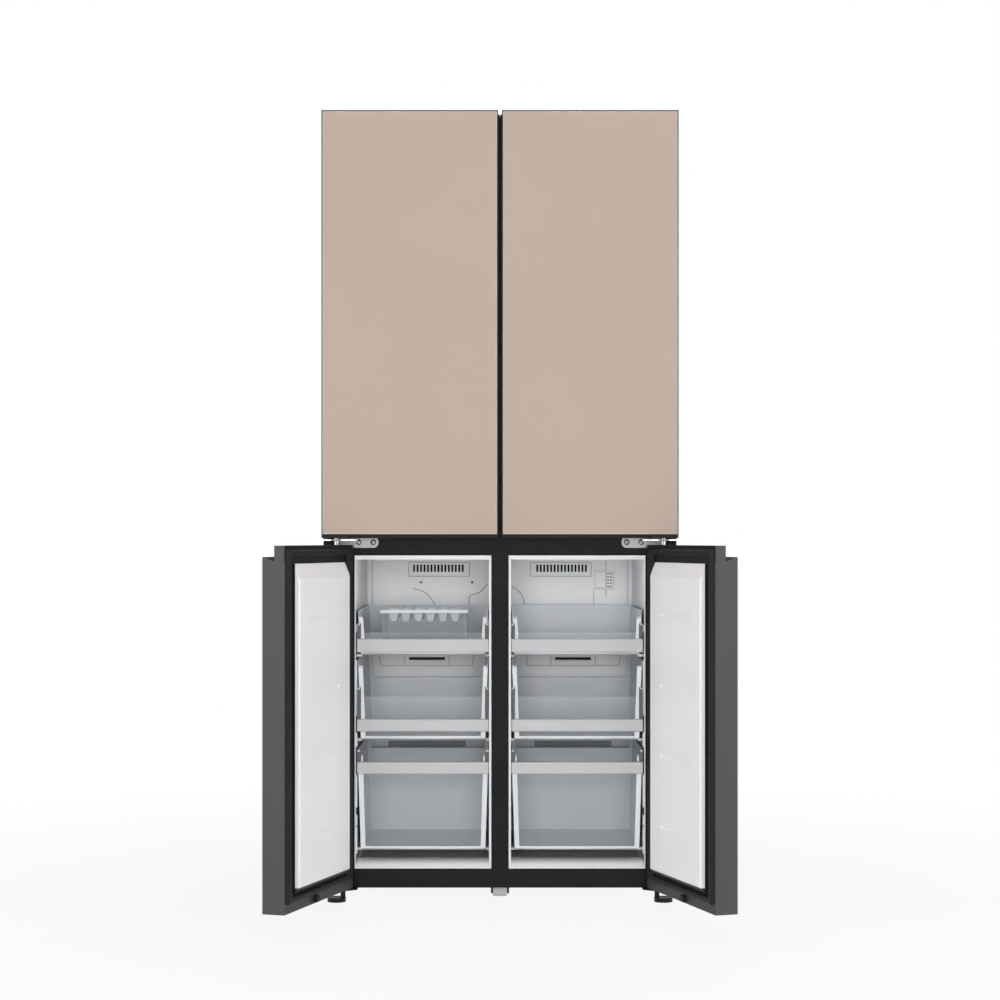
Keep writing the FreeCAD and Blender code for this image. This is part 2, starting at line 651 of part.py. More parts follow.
def door_gasket(level, low, high, inside):
    """Ring seal that meets the case front around the opening, on a thin web around the door liner."""
    gasket = body("left_%s_gasket" % level)
    left = "bay_left - gasket_margin"
    right = "door_free - frame_edge"
    bottom = low + " - gasket_margin"
    top = high + " + gasket_margin"
    tip = "case_front - seal_clear"
    pad(gasket, "y", "door_back", tip,
        rect(left, bottom, right, top),
        rect(left + " + gasket_width", bottom + " + gasket_width", right + " - gasket_width",
             top + " - gasket_width"))
    round_edges(gasket, "gasket_slope", lambda axis, at: axis != "y" and near(at.y, tip), "Chamfer")
    pad(gasket, "y", "door_back", "door_back + gasket_web",
        rect("hinge_round - half", bottom, right, top), inside)
    return gasket


# Outlines of the door liners as (left, bottom, right, top).
LOWER_LINER = ("bay_left + plateau_gap", "freezer_bottom + plateau_gap", "bay_right - plateau_free",
               "freezer_top - plateau_gap * 2")
UPPER_LINER = ("bay_left + plateau_gap", "fridge_bottom + plateau_gap", "door_free - dike_free",
               "fridge_top - plateau_gap")


def lower_liner():
    """Flat raised inner panel of a freezer door, with grooves and a sloped top."""
    liner = body("left_lower_liner")
    left, low, right, high = LOWER_LINER
    raised = "door_back + plateau_rise"
    pad(liner, "x", left, right, [
        ("door_back", low), ("door_back", high), ("door_back + plateau_rise / 3", high),
        (raised, high + " - plateau_slope"), (raised, low + " + plateau_rise / 2"),
        ("door_back + plateau_rise / 2", low),
    ])
    round_edges(liner, "plateau_round", lambda axis, at: axis == "z" and near(at.y, raised))
    start = low + " + groove_first"
    groove = cut(liner, "x", "bay_middle - groove_length / 2", "bay_middle + groove_length / 2", [
        (raised, start), (raised + " - groove_depth", start + " + groove_height / 2"),
        (raised, start + " + groove_height"),
    ])
    repeat(liner, groove, "z", "groove_pitch", "4")
    return liner


def upper_liner(ears):
    """Inner tub of a fresh-food door, with upright dikes that hold the bins."""
    liner = body("left_upper_liner")
    left, low, right, high = UPPER_LINER
    raised = "door_back + dike_rise"
    pad(liner, "y", "door_back", raised, rect(left, low, right, high))
    cut(liner, "y", "door_back + dike_floor", raised,
        rect(left + " + dike_width", low + " + dike_width", right + " - dike_width", high + " - dike_width"))
    round_edges(liner, "plateau_round", lambda axis, at: axis != "y" and near(at.y, raised))
    if ears:
        reach = "mullion_x + mullion_pin * 3"
        gap = "mullion_y - mullion_pin * 3"
        for bottom, top in (("mullion_low - ear_gap - ear_thick", "mullion_low - ear_gap"),
                            ("mullion_high + ear_gap", "mullion_high + ear_gap + ear_thick")):
            pad(liner, "z", bottom, top, rect(right + " - 1", gap, reach, "mullion_y + mullion_pin * 3"))
            cut(liner, "z", bottom, top, ("mullion_x", "mullion_y", "mullion_pin + pin_clear"))
    return liner


def door_bins():
    """Open trays between the dikes of a fresh-food door."""
    trays = []
    left = "bay_left + plateau_gap + dike_width + slide_clear"
    right = "door_free - dike_free - dike_width - slide_clear"
    back = "door_back + dike_floor + slide_clear"
    front = back + " + door_bin_depth"
    for level in range(int(SIZES["bin_count"])):
        low = "bin_first + bin_pitch * %d" % level
        tray = body("left_door_bin")
        pad(tray, "z", low, low + " + door_bin_height", rect(left, back, right, front))
        round_edges(tray, "bin_round / 2", lambda axis, at: axis == "z" and near(at.y, front))
        cut(tray, "z", low + " + bin_wall", low + " + door_bin_height",
            rect(left + " + bin_wall", back + " + bin_wall", right + " - bin_wall",
                 front + " - bin_wall - bin_round / 4"))
        trays.append(tray)
    return group("left_door_bins", trays)


def door_mullion():
    """Upright flap that bridges the gap between the upper doors, folded back at rest."""
    flap = body("door_mullion")
    pad(flap, "z", "mullion_low", "mullion_high",
        rect("mullion_x - mullion_thick / 2", "mullion_y - mullion_heel", "mullion_x + mullion_thick / 2",
             "mullion_y - mullion_heel + mullion_width"))
    round_edges(flap, "mullion_thick / 5", lambda axis, at: axis == "z", "Chamfer")
    pad(flap, "z", "mullion_low - ear_thick", "mullion_high + ear_thick",
        ("mullion_x", "mullion_y", "mullion_pin"))
    node("door_mullion", flap)


def swing_open(piece):
    """Turn a lower left piece about its hinge line to the angle at which it stands."""
    piece.Placement = FreeCAD.Placement(V(0, 0, 0), FreeCAD.Rotation(V(0, 0, 1), -number("open_angle")))
    piece.setExpression("Placement.Rotation.Angle", bind("-open_angle"))
    turn = "(open_angle * 1 deg)"
    piece.setExpression("Placement.Base.x",
                        bind("axis_x * (1 - cos%s) - axis_y * sin%s" % (turn, turn)))
    piece.setExpression("Placement.Base.y",
                        bind("axis_y * (1 - cos%s) + axis_x * sin%s" % (turn, turn)))


def doors():
    upper = {
        "frame": door_frame("upper"), "panel": door_panel("upper"), "liner": upper_liner(True),
        "gasket": door_gasket("upper", "fridge_bottom", "fridge_top", rect(*UPPER_LINER)),
        "bins": door_bins(),
    }
    lower = {
        "frame": door_frame("lower"), "panel": door_panel("lower"), "liner": lower_liner(),
        "gasket": door_gasket("lower", "freezer_bottom", "freezer_top", rect(*LOWER_LINER)),
    }
    for piece in lower.values():
        swing_open(piece)
    for level, pieces in (("upper", upper), ("lower", lower)):
        for name, piece in pieces.items():
            label = "%s_%s" % (level, name)
            node("left_" + label, piece)
            twin = upper_liner(False) if label == "upper_liner" else piece
            node("right_" + label, mirror("right_" + label, twin))
    door_mullion()


# Freezer drawers

def tub(label, span, low, high, depth, lip, rear_drop):
    """Open bin with a low front and, for the air behind it, a lowered rear wall."""
    left, right = span
    front = "bin_front"
    rear = "bin_front + " + depth
    bin_body = body(label)
    pad(bin_body, "z", low, high, rect(left, front, right, rear))
    round_edges(bin_body, "bin_round",
                lambda axis, at: axis == "x" and near(at.y, front) and near(at.z, high))
    round_edges(bin_body, "bin_wall * 2", lambda axis, at: near(at.z, low))
    cut(bin_body, "z", low + " + bin_wall", high,
        rect(left + " + bin_wall", front + " + bin_wall", right + " - bin_wall", rear + " - bin_wall"))
    cut(bin_body, "y", front, front + " + bin_wall * 3",
        rect(left + " + bin_flange", lip, right + " - bin_flange", high))
    if rear_drop:
        cut(bin_body, "y", rear + " - bin_wall * 2", rear,
            rect(left + " + bin_flange", high + " - " + rear_drop, right + " - bin_flange", high))
    return bin_body


def drawer_rail(drawer):
    """Grip bar across a drawer front with an upright bracket at each end."""
    rail = body("left_%s_rail" % drawer)
    low = "%s_rail" % drawer
    high = low + " + %s_rail_height" % drawer
    front = "bin_front - rail_thick"
    rise = "%s_lip + %s_bracket" % (drawer, drawer)
    pad(rail, "x", "bin_left", "bin_right", [
        (front + " + rail_lean", low), ("bin_front", low), ("bin_front", high), (front, high)])
    round_edges(rail, "rail_round", lambda axis, at: axis == "x" and at.y < number("bin_front") - 1)
    pad(rail, "z", high + " - 1", rise,
        rect("bin_left", "bin_front - rail_thick * 0.7", "bin_left + bracket_width", "bin_front"),
        rect("bin_right - bracket_width", "bin_front - rail_thick * 0.7", "bin_right", "bin_front"))
    return rail


def drawers():
    for drawer in DRAWERS:
        depth = "bin_low_depth" if drawer == "lower" else "bin_depth"
        rear_drop = None if drawer == "upper" else "%s_rear_drop" % drawer
        bin_body = tub("left_%s_bin" % drawer, ("bin_left", "bin_right"), "%s_bin_bottom" % drawer,
                       "%s_bin_top" % drawer, depth, "%s_lip" % drawer, rear_drop)
        for part_name, piece in (("bin", bin_body), ("rail", drawer_rail(drawer))):
            label = "%s_%s" % (drawer, part_name)
            node("left_drawer_" + label, piece)
            node("right_drawer_" + label, mirror("right_drawer_" + label, piece))


def mould_outline(wall):
    """Cross-section of an ice mould that narrows downwards, drawn in by a wall."""
    floor = "ice_top - mould_depth + " + wall
    return [("mould_left + " + wall, "tray_top"),
            ("mould_left + mould_slope + " + wall, floor),
            ("mould_right - mould_slope - " + wall, floor),
            ("mould_right - " + wall, "tray_top")]


def ice_box():
    """Ice store that stands in the upper left drawer, under a tray with two rows of moulds."""
    store = body("ice_store")
    pad(store, "z", "ice_bottom", "ice_top", rect("ice_left", "ice_front", "ice_right", "ice_rear"))
    round_edges(store, "ice_round", lambda axis, at: axis == "z")
    cut(store, "z", "ice_bottom + ice_wall", "ice_top",
        rect("ice_left + ice_wall * 2", "ice_front + ice_wall * 2", "ice_right - ice_wall * 2",
             "ice_rear - ice_wall * 2"))
    tray = body("ice_tray")
    pad(tray, "z", "ice_top", "tray_top",
        rect("ice_left - ice_rim_reach", "ice_front - ice_rim_reach", "ice_right + ice_rim_reach",
             "ice_rear + ice_rim_reach"))
    round_edges(tray, "ice_rim_reach", lambda axis, at: axis == "z")
    mould = pad(tray, "y", "mould_front", "mould_rear", mould_outline("0"))
    repeat(tray, mould, "x", "mould_pitch", "mould_count")
    for low, high in (("mould_front", "(mould_front + mould_rear) / 2"),
                      ("(mould_front + mould_rear) / 2", "mould_rear")):
        pocket = cut(tray, "y", low + " + mould_wall", high + " - mould_wall", mould_outline("mould_wall"))
        repeat(tray, pocket, "x", "mould_pitch", "mould_count")
    node("left_ice_box", group("left_ice_box", [store, tray]))


# Freezer back covers and the cold side behind them

def back_cover(sensor):
    """Air cover at the back of a freezer: louvre, duct housing, return slot and fan boss."""
    cover = body("back_cover")
    pad(cover, "y", "cover_face", "cover_rear",
        rect("bay_left + back_cover_gap", "freezer_step + back_cover_gap",
             "bay_right - back_cover_gap", "freezer_top - back_cover_gap"))
    round_edges(cover, "liner_corner", lambda axis, at: axis == "y" and at.z > number("freezer_step * 2"))
    pad(cover, "y", "cover_face - louvre_rise", "cover_rear",
        rect("louvre_left - louvre_border", "louvre_bottom - louvre_border",
             "louvre_left + louvre_pitch * louvre_count + louvre_border",
             "louvre_bottom + louvre_height + louvre_border / 2"))
    slot = cut(cover, "y", "cover_face - louvre_rise", "cover_rear",
               rect("louvre_left", "louvre_bottom", "louvre_left + louvre_slot",
                    "louvre_bottom + louvre_height"))
    repeat(cover, slot, "x", "louvre_pitch", "louvre_count")
    duct_top = "duct_bottom + duct_height"
    pad(cover, "y", "cover_face - duct_rise", "cover_rear", [
        ("duct_left", "duct_bottom"), ("duct_right", "duct_bottom"),
        ("duct_right + duct_taper", duct_top), ("duct_left - duct_taper", duct_top),
    ])
    block_face = "cover_face - duct_rise - duct_block"
    pad(cover, "y", block_face, "cover_rear",
        rect("duct_slot_left - duct_slot_border", "duct_bottom",
             "duct_slot_left + duct_slot_width + duct_slot_border", duct_top))
    cut(cover, "y", block_face, "cover_rear",
        rect("duct_slot_left", "duct_slot_bottom", "duct_slot_left + duct_slot_width",
             "duct_slot_bottom + duct_slot_height"))
    cut(cover, "y", "cover_face", "cover_rear",
        rect("bay_left + return_start", "return_bottom", "bay_right - return_end",
             "return_bottom + return_height"))
    pad(cover, "y", "cover_face", "cover_rear + fan_boss",
        rect("fan_x - motor_radius", "fan_z - motor_radius", "fan_x + motor_radius", "fan_z + motor_radius"))
    pad(cover, "y", "cover_rear", "cover_rear + fan_boss + fan_depth", ("fan_x", "fan_z", "fan_shaft"))
    if sensor:
        pad(cover, "y", "cover_face - sensor_rise", "cover_rear",
            rect("bay_left + sensor_start", "sensor_bottom", "bay_left + sensor_start + sensor_width",
                 "sensor_bottom + sensor_height"))
        round_edges(cover, "sensor_rise / 2", lambda axis, at: near(at.y, "cover_face - sensor_rise"),
                    "Chamfer")
    return cover


def fan(label, radius):
    """Axial fan about its own Z axis: bored hub with a flat for each pitched blade."""
    rotor = body(label)
    turn = "(%d + 0.5) * 360 / fan_blades * 1 deg + 90 deg"
    corners = [("fan_hub * cos(%s)" % (turn % step), "fan_hub * sin(%s)" % (turn % step))
               for step in range(int(SIZES["fan_blades"]))]
    chord = "fan_hub * 0.8"
    rise = "fan_depth * 0.35"
    middle = "(fan_depth - blade_thick) / 2"
    pad(rotor, "z", "0", "fan_depth", corners)
    blade = pad(rotor, "y", "fan_hub * 0.5", radius, [
        ("-(%s)" % chord, "%s - %s" % (middle, rise)), (chord, "%s + %s" % (middle, rise)),
        (chord, "%s + %s + blade_thick" % (middle, rise)),
        ("-(%s)" % chord, "%s - %s + blade_thick" % (middle, rise)),
    ])
    ring = rotor.newObject("PartDesign::PolarPattern", label + "_ring")
    ring.Originals = [blade]
    ring.Axis = (origin_of(rotor, "Z_Axis"), [""])
    ring.Angle = 360
    ring.setExpression("Occurrences", bind("fan_blades"))
    rotor.Tip = ring
    doc.recompute()
    cut(rotor, "z", "0", "fan_depth", ("0", "0", "fan_shaft + fan_clear"))
    return rotor


def place(piece, axis, angle, spot):
    """Stand a piece that is drawn about its own axis at its spot in the object."""
    piece.Placement = FreeCAD.Placement(V(0, 0, 0), FreeCAD.Rotation(axis, angle))
    for name, text in zip("xyz", spot):
        piece.setExpression("Placement.Base." + name, bind(text))
    return piece


def fin_pack(label, length, width, height, fins, tube):
    """Finned coil along its own X axis: thin plates on a bank of flat tubes."""
    pack = body(label)
    pad(pack, "x", "0", "fin_thick", rect("0", "0", width, height))
    rows = []
    for up in (1, 3):
        middle = "(%s) * %d / 4" % (height, up)
        rows.append(rect("(%s) * 0.1" % width, "%s - %s" % (middle, tube),
                         "(%s) * 0.9" % width, "%s + %s" % (middle, tube)))
    pad(pack, "x", "0", length, *rows)
    fin = pad(pack, "x", "(%s) / (%s)" % (length, fins), "(%s) / (%s) + fin_thick" % (length, fins),
              rect("0", "0", width, height))
    repeat(pack, fin, "x", "((%s) - fin_thick) / (%s)" % (length, fins), "(%s) - 1" % fins)
    return pack


def cold_side():
    left = back_cover(False)
    right = mirror("back_cover_right", back_cover(True))
    node("freezer_back_covers", group("freezer_back_covers", [left, right]))
    coil = fin_pack("evaporator", "bay_right - bay_left - coil_side * 2", "coil_depth", "coil_height",
                    "fin_count", "coil_tube")
    place(coil, V(1, 0, 0), 0, ("bay_left + coil_side", "freezer_back - coil_depth", "coil_bottom"))
    node("evaporators", pair("evaporators", coil))
    rotor = fan("left_evaporator_fan", "fan_radius")
    place(rotor, V(1, 0, 0), -90, ("fan_x", "cover_rear + fan_boss + fan_seat", "fan_z"))
    node("left_evaporator_fan", rotor)
    node("right_evaporator_fan", mirror("right_evaporator_fan", rotor))


# Fresh-food space

def shelves():
    """Glass plates in moulded borders that lie on the liner's ledges."""
    plates = []
    borders = []
    front = "case_front + shelf_front"
    back = "case_front + shelf_back"
    for level in range(int(SIZES["shelf_count"])):
        low = "shelf_first + shelf_pitch * %d" % level
        high = low + " + shelf_thick"
        border = body("shelf_border")
        pad(border, "z", low, high, rect("-shelf_half", front, "shelf_half", back))
        round_edges(border, "shelf_thick * 0.4", lambda axis, at: axis == "x" and near(at.y, front))
        cut(border, "z", low, high, rect("shelf_border - shelf_half", front + " + shelf_border",
                                         "shelf_half - shelf_border", back + " - shelf_border"))
        cut(border, "z", high + " - shelf_glass", high,
            rect("shelf_border / 2 - shelf_half", front + " + shelf_border / 2",
                 "shelf_half - shelf_border / 2", back + " - shelf_border / 2"))
        borders.append(border)
        plates.append(box("shelf_plate", ("shelf_border / 2 - shelf_half", "shelf_half - shelf_border / 2"),
                          (front + " + shelf_border / 2", back + " - shelf_border / 2"),
                          (high + " - shelf_glass", high)))
    node("shelf_frames", group("shelf_frames", borders))
    node("shelf_glass_plates", group("shelf_glass_plates", plates))


def crispers():
    """Two vegetable boxes on the floor of the fresh-food space."""
    front = "case_front + shelf_front"
    back = "case_front + shelf_back - 30"
    low = "fridge_bottom"
    high = low + " + crisper_height"
    left = "liner_corner - wall_in + crisper_gap"
    right = "-crisper_gap / 2"
    crisper = body("crisper")
    pad(crisper, "z", low, high, rect(left, front, right, back))
    round_edges(crisper, "crisper_round", lambda axis, at: axis == "z")
    cut(crisper, "z", low + " + crisper_wall", high,
        rect(left + " + crisper_wall * 3", front + " + crisper_wall * 3", right + " - crisper_wall * 3",
             back + " - crisper_wall * 3"))
    node("crispers", pair("crispers", crisper))


def air_tower():
    """Slotted duct up the back wall of the fresh-food space."""
    tower = body("air_tower")
    face = "fridge_back - tower_thick"
    low = "fridge_bottom + tower_end"
    pad(tower, "y", face, "fridge_back",
        rect("-tower_width / 2", low, "tower_width / 2", "fridge_top - tower_end"))
    round_edges(tower, "tower_thick / 3", lambda axis, at: axis == "z" and near(at.y, face))
    slot = cut(tower, "y", face, face + " + tower_thick / 2",
               rect("-tower_slot / 2", low + " + tower_pitch", "tower_slot / 2",
                    low + " + tower_pitch + tower_slot_height"))
    repeat(tower, slot, "z", "tower_pitch", "tower_slots")
    node("air_tower", tower)


# Machine room

def compressor():
    """Welded pump shell on a pressed foot plate."""
    shell = body("compressor")
    foot = "pan_top"
    low = "pan_top + pump_base"
    drawing = sketch(shell, "y", "0")
    outline(drawing, [
        ("0", low), ("pump_radius", low), ("pump_radius", low + " + pump_height * 0.7"),
        ("pump_radius * 0.5", low + " + pump_height"), ("0", low + " + pump_height"),
    ])
    turned = shell.newObject("PartDesign::Revolution", "compressor_shell")
    turned.Profile = drawing
    turned.ReferenceAxis = (drawing, ["V_Axis"])
    turned.Angle = 360
    shell.Tip = turned
    pad(shell, "z", foot, low, rect("-pump_foot", "-pump_foot * 0.9", "pump_foot", "pump_foot * 0.9"))
    round_edges(shell, "pump_base", lambda axis, at: axis == "z" and at.z < number(low), "Chamfer")
    place(shell, V(0, 0, 1), 0, ("wall_in - pump_inset", "case_back - pump_back", "0"))
    node("compressor", shell)


def condenser():
    coil = fin_pack("condenser", "coil_length", "coil_width", "coil_tall", "coil_fins", "coil_tube")
    place(coil, V(1, 0, 0), 0, ("coil_x", "case_back - pump_back - coil_width / 2", "pan_top"))
    node("condenser", coil)


def cooling_fan():
    """Fan that draws air through the condenser, on the shaft of a motor held by a bracket."""
    line_y = "case_back - pump_back"
    line_z = "pan_top + coil_tall / 2"
    rotor = fan("condenser_fan", "cooling_fan_radius")
    place(rotor, V(0, 1, 0), 90, ("cooling_fan_x", line_y, line_z))
    node("condenser_fan", rotor)
    motor = body("fan_motor")
    near_end = "cooling_fan_x + fan_depth + fan_seat"
    pad(motor, "x", near_end, near_end + " + motor_length",
        rect(line_y + " - motor_radius", line_z + " - motor_radius", line_y + " + motor_radius",
             line_z + " + motor_radius"))
    pad(motor, "x", "cooling_fan_x", near_end + " + 1", (line_y, line_z, "fan_shaft"))
    pad(motor, "x", near_end + " + motor_length - 6", near_end + " + motor_length",
        rect(line_y + " - motor_radius", "pan_top", line_y + " + motor_radius", line_z))
    pad(motor, "z", "pan_top", "pan_top + 3",
        rect(near_end + " + 4", line_y + " - motor_radius", near_end + " + motor_length",
             line_y + " + motor_radius"))
    node("fan_motor", motor)


# Floor contact

def levelling_feet():
    """Round foot under each front corner, with its screw near the inner edge."""
    foot = body("levelling_foot")
    spot = ("foot_inset - half", "case_front + foot_back")
    pad(foot, "z", "0", "foot_thick", (spot[0], spot[1], "foot_radius"))
    pad(foot, "z", "0", "case_bottom", (spot[0] + " + foot_stem_shift", spot[1], "foot_stem"))
    node("levelling_feet", pair("levelling_feet", foot))


def roller(label, middle, line):
    """Bored floor roller with rounded rims."""
    wheel = body(label)
    left = "%s - roller_half" % middle
    right = "%s + roller_half" % middle
    pad(wheel, "x", left, right, (line, "roller_radius", "roller_radius"))
    cut(wheel, "x", left, right, (line, "roller_radius", "roller_axle + roller_clear"))
    return wheel


def roller_bracket(label, middle, line):
    """Two cheeks and the axle between them."""
    holder = body(label)
    inner = "roller_half + roller_side_gap"
    outer = "roller_half + roller_side_gap + roller_plate"
    cheek = rect("%s - roller_plate_half" % line, "roller_lift",
                 "%s + roller_plate_half" % line, "case_bottom")
    pad(holder, "x", "%s - (%s)" % (middle, outer), "%s - (%s)" % (middle, inner), cheek)
    pad(holder, "x", "%s - (%s)" % (middle, outer), "%s + %s" % (middle, outer),
        (line, "roller_radius", "roller_axle"))
    pad(holder, "x", "%s + %s" % (middle, inner), "%s + %s" % (middle, outer), cheek)
    return holder


def rollers():
    centre_line = "case_front + roller_back"
    rear_line = "case_back - rear_roller_inset"
    node("centre_roller", roller("centre_roller", "0", centre_line))
    rear = roller("rear_roller", "-rear_roller_x", rear_line)
    node("rear_rollers", pair("rear_rollers", rear))
    rear_bracket = roller_bracket("rear_bracket", "-rear_roller_x", rear_line)
    holders = [roller_bracket("centre_bracket", "0", centre_line), rear_bracket,
               mirror("rear_bracket_right", rear_bracket)]
    node("roller_brackets", group("roller_brackets", holders))


def check_and_write():
    doc.recompute()
    for thing in doc.Objects:
        if "Invalid" in thing.State or "Error" in thing.State:
            raise RuntimeError("%s failed: %s" % (thing.Name, thing.State))
    for label, thing in nodes.items():
        if thing.Shape.isNull() or not thing.Shape.isValid() or not thing.Shape.Solids:
            raise RuntimeError("%s has no valid solid" % label)
    os.makedirs("parts", exist_ok=True)
    for label, thing in nodes.items():
        solids = thing.Shape.Solids
        shape = solids[0] if len(solids) == 1 else Part.makeCompound(solids)
        shape.exportStep("parts/%s.step" % label)


outer_case()
back_panel()
wall_insulation()
fridge_liner()
freezer_liner()
front_frame()
base_pan()
machine_cover()
top_cover()
top_hinge()
middle_hinge()
bottom_hinge()
doors()
drawers()
ice_box()
cold_side()
shelves()
crispers()
air_tower()
compressor()
condenser()
cooling_fan()
levelling_feet()
rollers()
check_and_write()
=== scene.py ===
"""Looks of the four-door refrigerator: finishes, clear drawer fronts, fasteners, light and camera.

Blender works in metres. Sizes of the object are given in millimetres and multiplied by MM.
"""

import json
import math

import bmesh
import bpy
from mathutils import Matrix, Vector


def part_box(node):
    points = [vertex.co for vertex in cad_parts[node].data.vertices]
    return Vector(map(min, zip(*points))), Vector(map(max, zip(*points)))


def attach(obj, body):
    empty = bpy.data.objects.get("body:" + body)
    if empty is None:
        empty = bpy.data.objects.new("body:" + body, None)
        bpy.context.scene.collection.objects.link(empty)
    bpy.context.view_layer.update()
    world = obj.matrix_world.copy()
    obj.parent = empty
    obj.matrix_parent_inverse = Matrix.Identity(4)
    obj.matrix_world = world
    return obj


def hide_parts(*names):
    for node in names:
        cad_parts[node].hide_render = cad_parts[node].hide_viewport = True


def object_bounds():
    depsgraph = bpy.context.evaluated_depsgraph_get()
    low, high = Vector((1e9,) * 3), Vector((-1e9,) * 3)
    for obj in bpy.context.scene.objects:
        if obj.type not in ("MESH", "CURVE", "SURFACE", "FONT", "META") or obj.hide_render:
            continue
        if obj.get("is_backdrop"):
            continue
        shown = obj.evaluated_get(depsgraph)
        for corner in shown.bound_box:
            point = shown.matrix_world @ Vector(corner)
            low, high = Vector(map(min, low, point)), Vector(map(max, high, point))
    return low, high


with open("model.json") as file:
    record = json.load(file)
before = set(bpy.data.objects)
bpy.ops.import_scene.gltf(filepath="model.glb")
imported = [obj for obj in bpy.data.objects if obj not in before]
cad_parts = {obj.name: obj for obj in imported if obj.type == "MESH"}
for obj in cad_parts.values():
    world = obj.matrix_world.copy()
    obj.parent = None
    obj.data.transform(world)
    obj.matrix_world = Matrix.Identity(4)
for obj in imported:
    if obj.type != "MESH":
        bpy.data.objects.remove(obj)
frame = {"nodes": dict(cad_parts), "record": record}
cad_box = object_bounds()
nodes = frame["nodes"]
scene = bpy.context.scene

MM = 0.001
SIDES = {"left": -1, "right": 1}
DRAWERS = ("upper", "middle", "lower")
FRONT = (0, -1, 0)
REAR = (0, 1, 0)
WELD_DISTANCE = 1e-6
FLAT_ANGLE = 0.01
SHARP_ANGLE = math.radians(30)


# Finishes

def linear(red, green, blue):
    """A colour given as 0 to 255 display values, in the linear values that shaders use."""
    def channel(value):
        value /= 255
        return value / 12.92 if value <= 0.04045 else ((value + 0.055) / 1.055) ** 2.4
    return channel(red), channel(green), channel(blue), 1.0


def shade(colour, factor):
    """A lighter or darker version of a linear colour."""
    return tuple(min(1.0, part * factor) for part in colour[:3]) + (1.0,)


class Finish:
    """A procedural material: a Principled shader fed by noise in the part's own coordinates."""

    # Sockets of the Mix node by data type: first input, second input, result
    MIX_SOCKETS = {"RGBA": (6, 7, 2), "FLOAT": (2, 3, 0)}

    def __init__(self, name, **sockets):
        self.material = bpy.data.materials.new(name)
        self.material.use_nodes = True
        self.tree = self.material.node_tree
        self.shader = self.tree.nodes["Principled BSDF"]
        coordinates = self.add("ShaderNodeTexCoord")
        self.place = coordinates.outputs["Object"]
        self.facing = coordinates.outputs["Normal"]
        for socket, value in sockets.items():
            self.shader.inputs[socket.replace("_", " ")].default_value = value

    def add(self, kind, **settings):
        """A new shader node with its settings."""
        node = self.tree.nodes.new(kind)
        for key, value in settings.items():
            setattr(node, key, value)
        return node

    def link(self, source, target):
        self.tree.links.new(source, target)

    def stretched(self, along):
        """Coordinates scaled by a different amount along each axis."""
        mapping = self.add("ShaderNodeMapping")
        mapping.inputs["Scale"].default_value = along
        self.link(self.place, mapping.inputs["Vector"])
        return mapping.outputs["Vector"]

    def noise(self, scale, detail=3.0, along=None):
        """A noise value, stretched along the axes where along is given."""
        texture = self.add("ShaderNodeTexNoise")
        texture.inputs["Scale"].default_value = scale
        texture.inputs["Detail"].default_value = detail
        self.link(self.stretched(along) if along else self.place, texture.inputs["Vector"])
        return texture.outputs["Fac"]

    def span(self, value, low, high, start=0.3, end=0.7):
        """A value that runs from low to high as another runs from start to end."""
        mapped = self.add("ShaderNodeMapRange")
        for socket, amount in (
                ("From Min", start), ("From Max", end), ("To Min", low), ("To Max", high)):
            mapped.inputs[socket].default_value = amount
        self.link(value, mapped.inputs["Value"])
        return mapped.outputs["Result"]

    def tint(self, colour, spread, scale, along=None):
        """Base colour that drifts by spread either side of colour."""
        ramp = self.add("ShaderNodeValToRGB")
        low, high = ramp.color_ramp.elements
        low.position, high.position = 0.3, 0.7
        low.color, high.color = shade(colour, 1 - spread), shade(colour, 1 + spread)
        self.link(self.noise(scale, along=along), ramp.inputs["Fac"])
        self.link(ramp.outputs["Color"], self.shader.inputs["Base Color"])
        return self

    def rough(self, low, high, scale, along=None):
        """Roughness that runs between low and high."""
        value = self.span(self.noise(scale, along=along), low, high)
        self.link(value, self.shader.inputs["Roughness"])
        return self

    def grain(self, scale, height, along=None, edge=0.0):
        """A fine relief, height in metres, over edges softened by the edge radius."""
        bump = self.add("ShaderNodeBump")
        bump.inputs["Strength"].default_value = 1.0
        bump.inputs["Distance"].default_value = height
        self.link(self.noise(scale, detail=2.0, along=along), bump.inputs["Height"])
        if edge:
            bevel = self.add("ShaderNodeBevel", samples=4)
            bevel.inputs["Radius"].default_value = edge
            self.link(bevel.outputs["Normal"], bump.inputs["Normal"])
        self.link(bump.outputs["Normal"], self.shader.inputs["Normal"])
        return self

    def within(self, source, axis, low, high):
        """1 where one coordinate of a vector lies between two values."""
        split = self.add("ShaderNodeSeparateXYZ")
        self.link(source, split.inputs["Vector"])
        test = self.add("ShaderNodeMath", operation="COMPARE")
        self.link(split.outputs[axis], test.inputs[0])
        test.inputs[1].default_value = (low + high) / 2
        test.inputs[2].default_value = (high - low) / 2
        return test.outputs["Value"]

    def joined(self, operation, one, other):
        """Two masks in one: MULTIPLY where both hold, MAXIMUM where either does."""
        both = self.add("ShaderNodeMath", operation=operation)
        self.link(one, both.inputs[0])
        self.link(other, both.inputs[1])
        return both.outputs["Value"]

    def patched(self, mask, colour, roughness):
        """A second colour and roughness where the mask holds."""
        for name, kind, value in (
                ("Base Color", "RGBA", colour), ("Roughness", "FLOAT", roughness)):
            target = self.shader.inputs[name]
            mix = self.add("ShaderNodeMix", data_type=kind)
            first, second, mixed = self.MIX_SOCKETS[kind]
            self.link(target.links[0].from_socket, mix.inputs[first])
            mix.inputs[second].default_value = value
            self.link(mask, mix.inputs["Factor"])
            self.link(mix.outputs[mixed], target)
        return self

    def clear(self, face_on, edge_on):
        """See-through, and less so where the surface turns away."""
        turn = self.add("ShaderNodeLayerWeight").outputs["Facing"]
        self.link(self.span(turn, face_on, edge_on, 0.0, 1.0), self.shader.inputs["Alpha"])
        return self


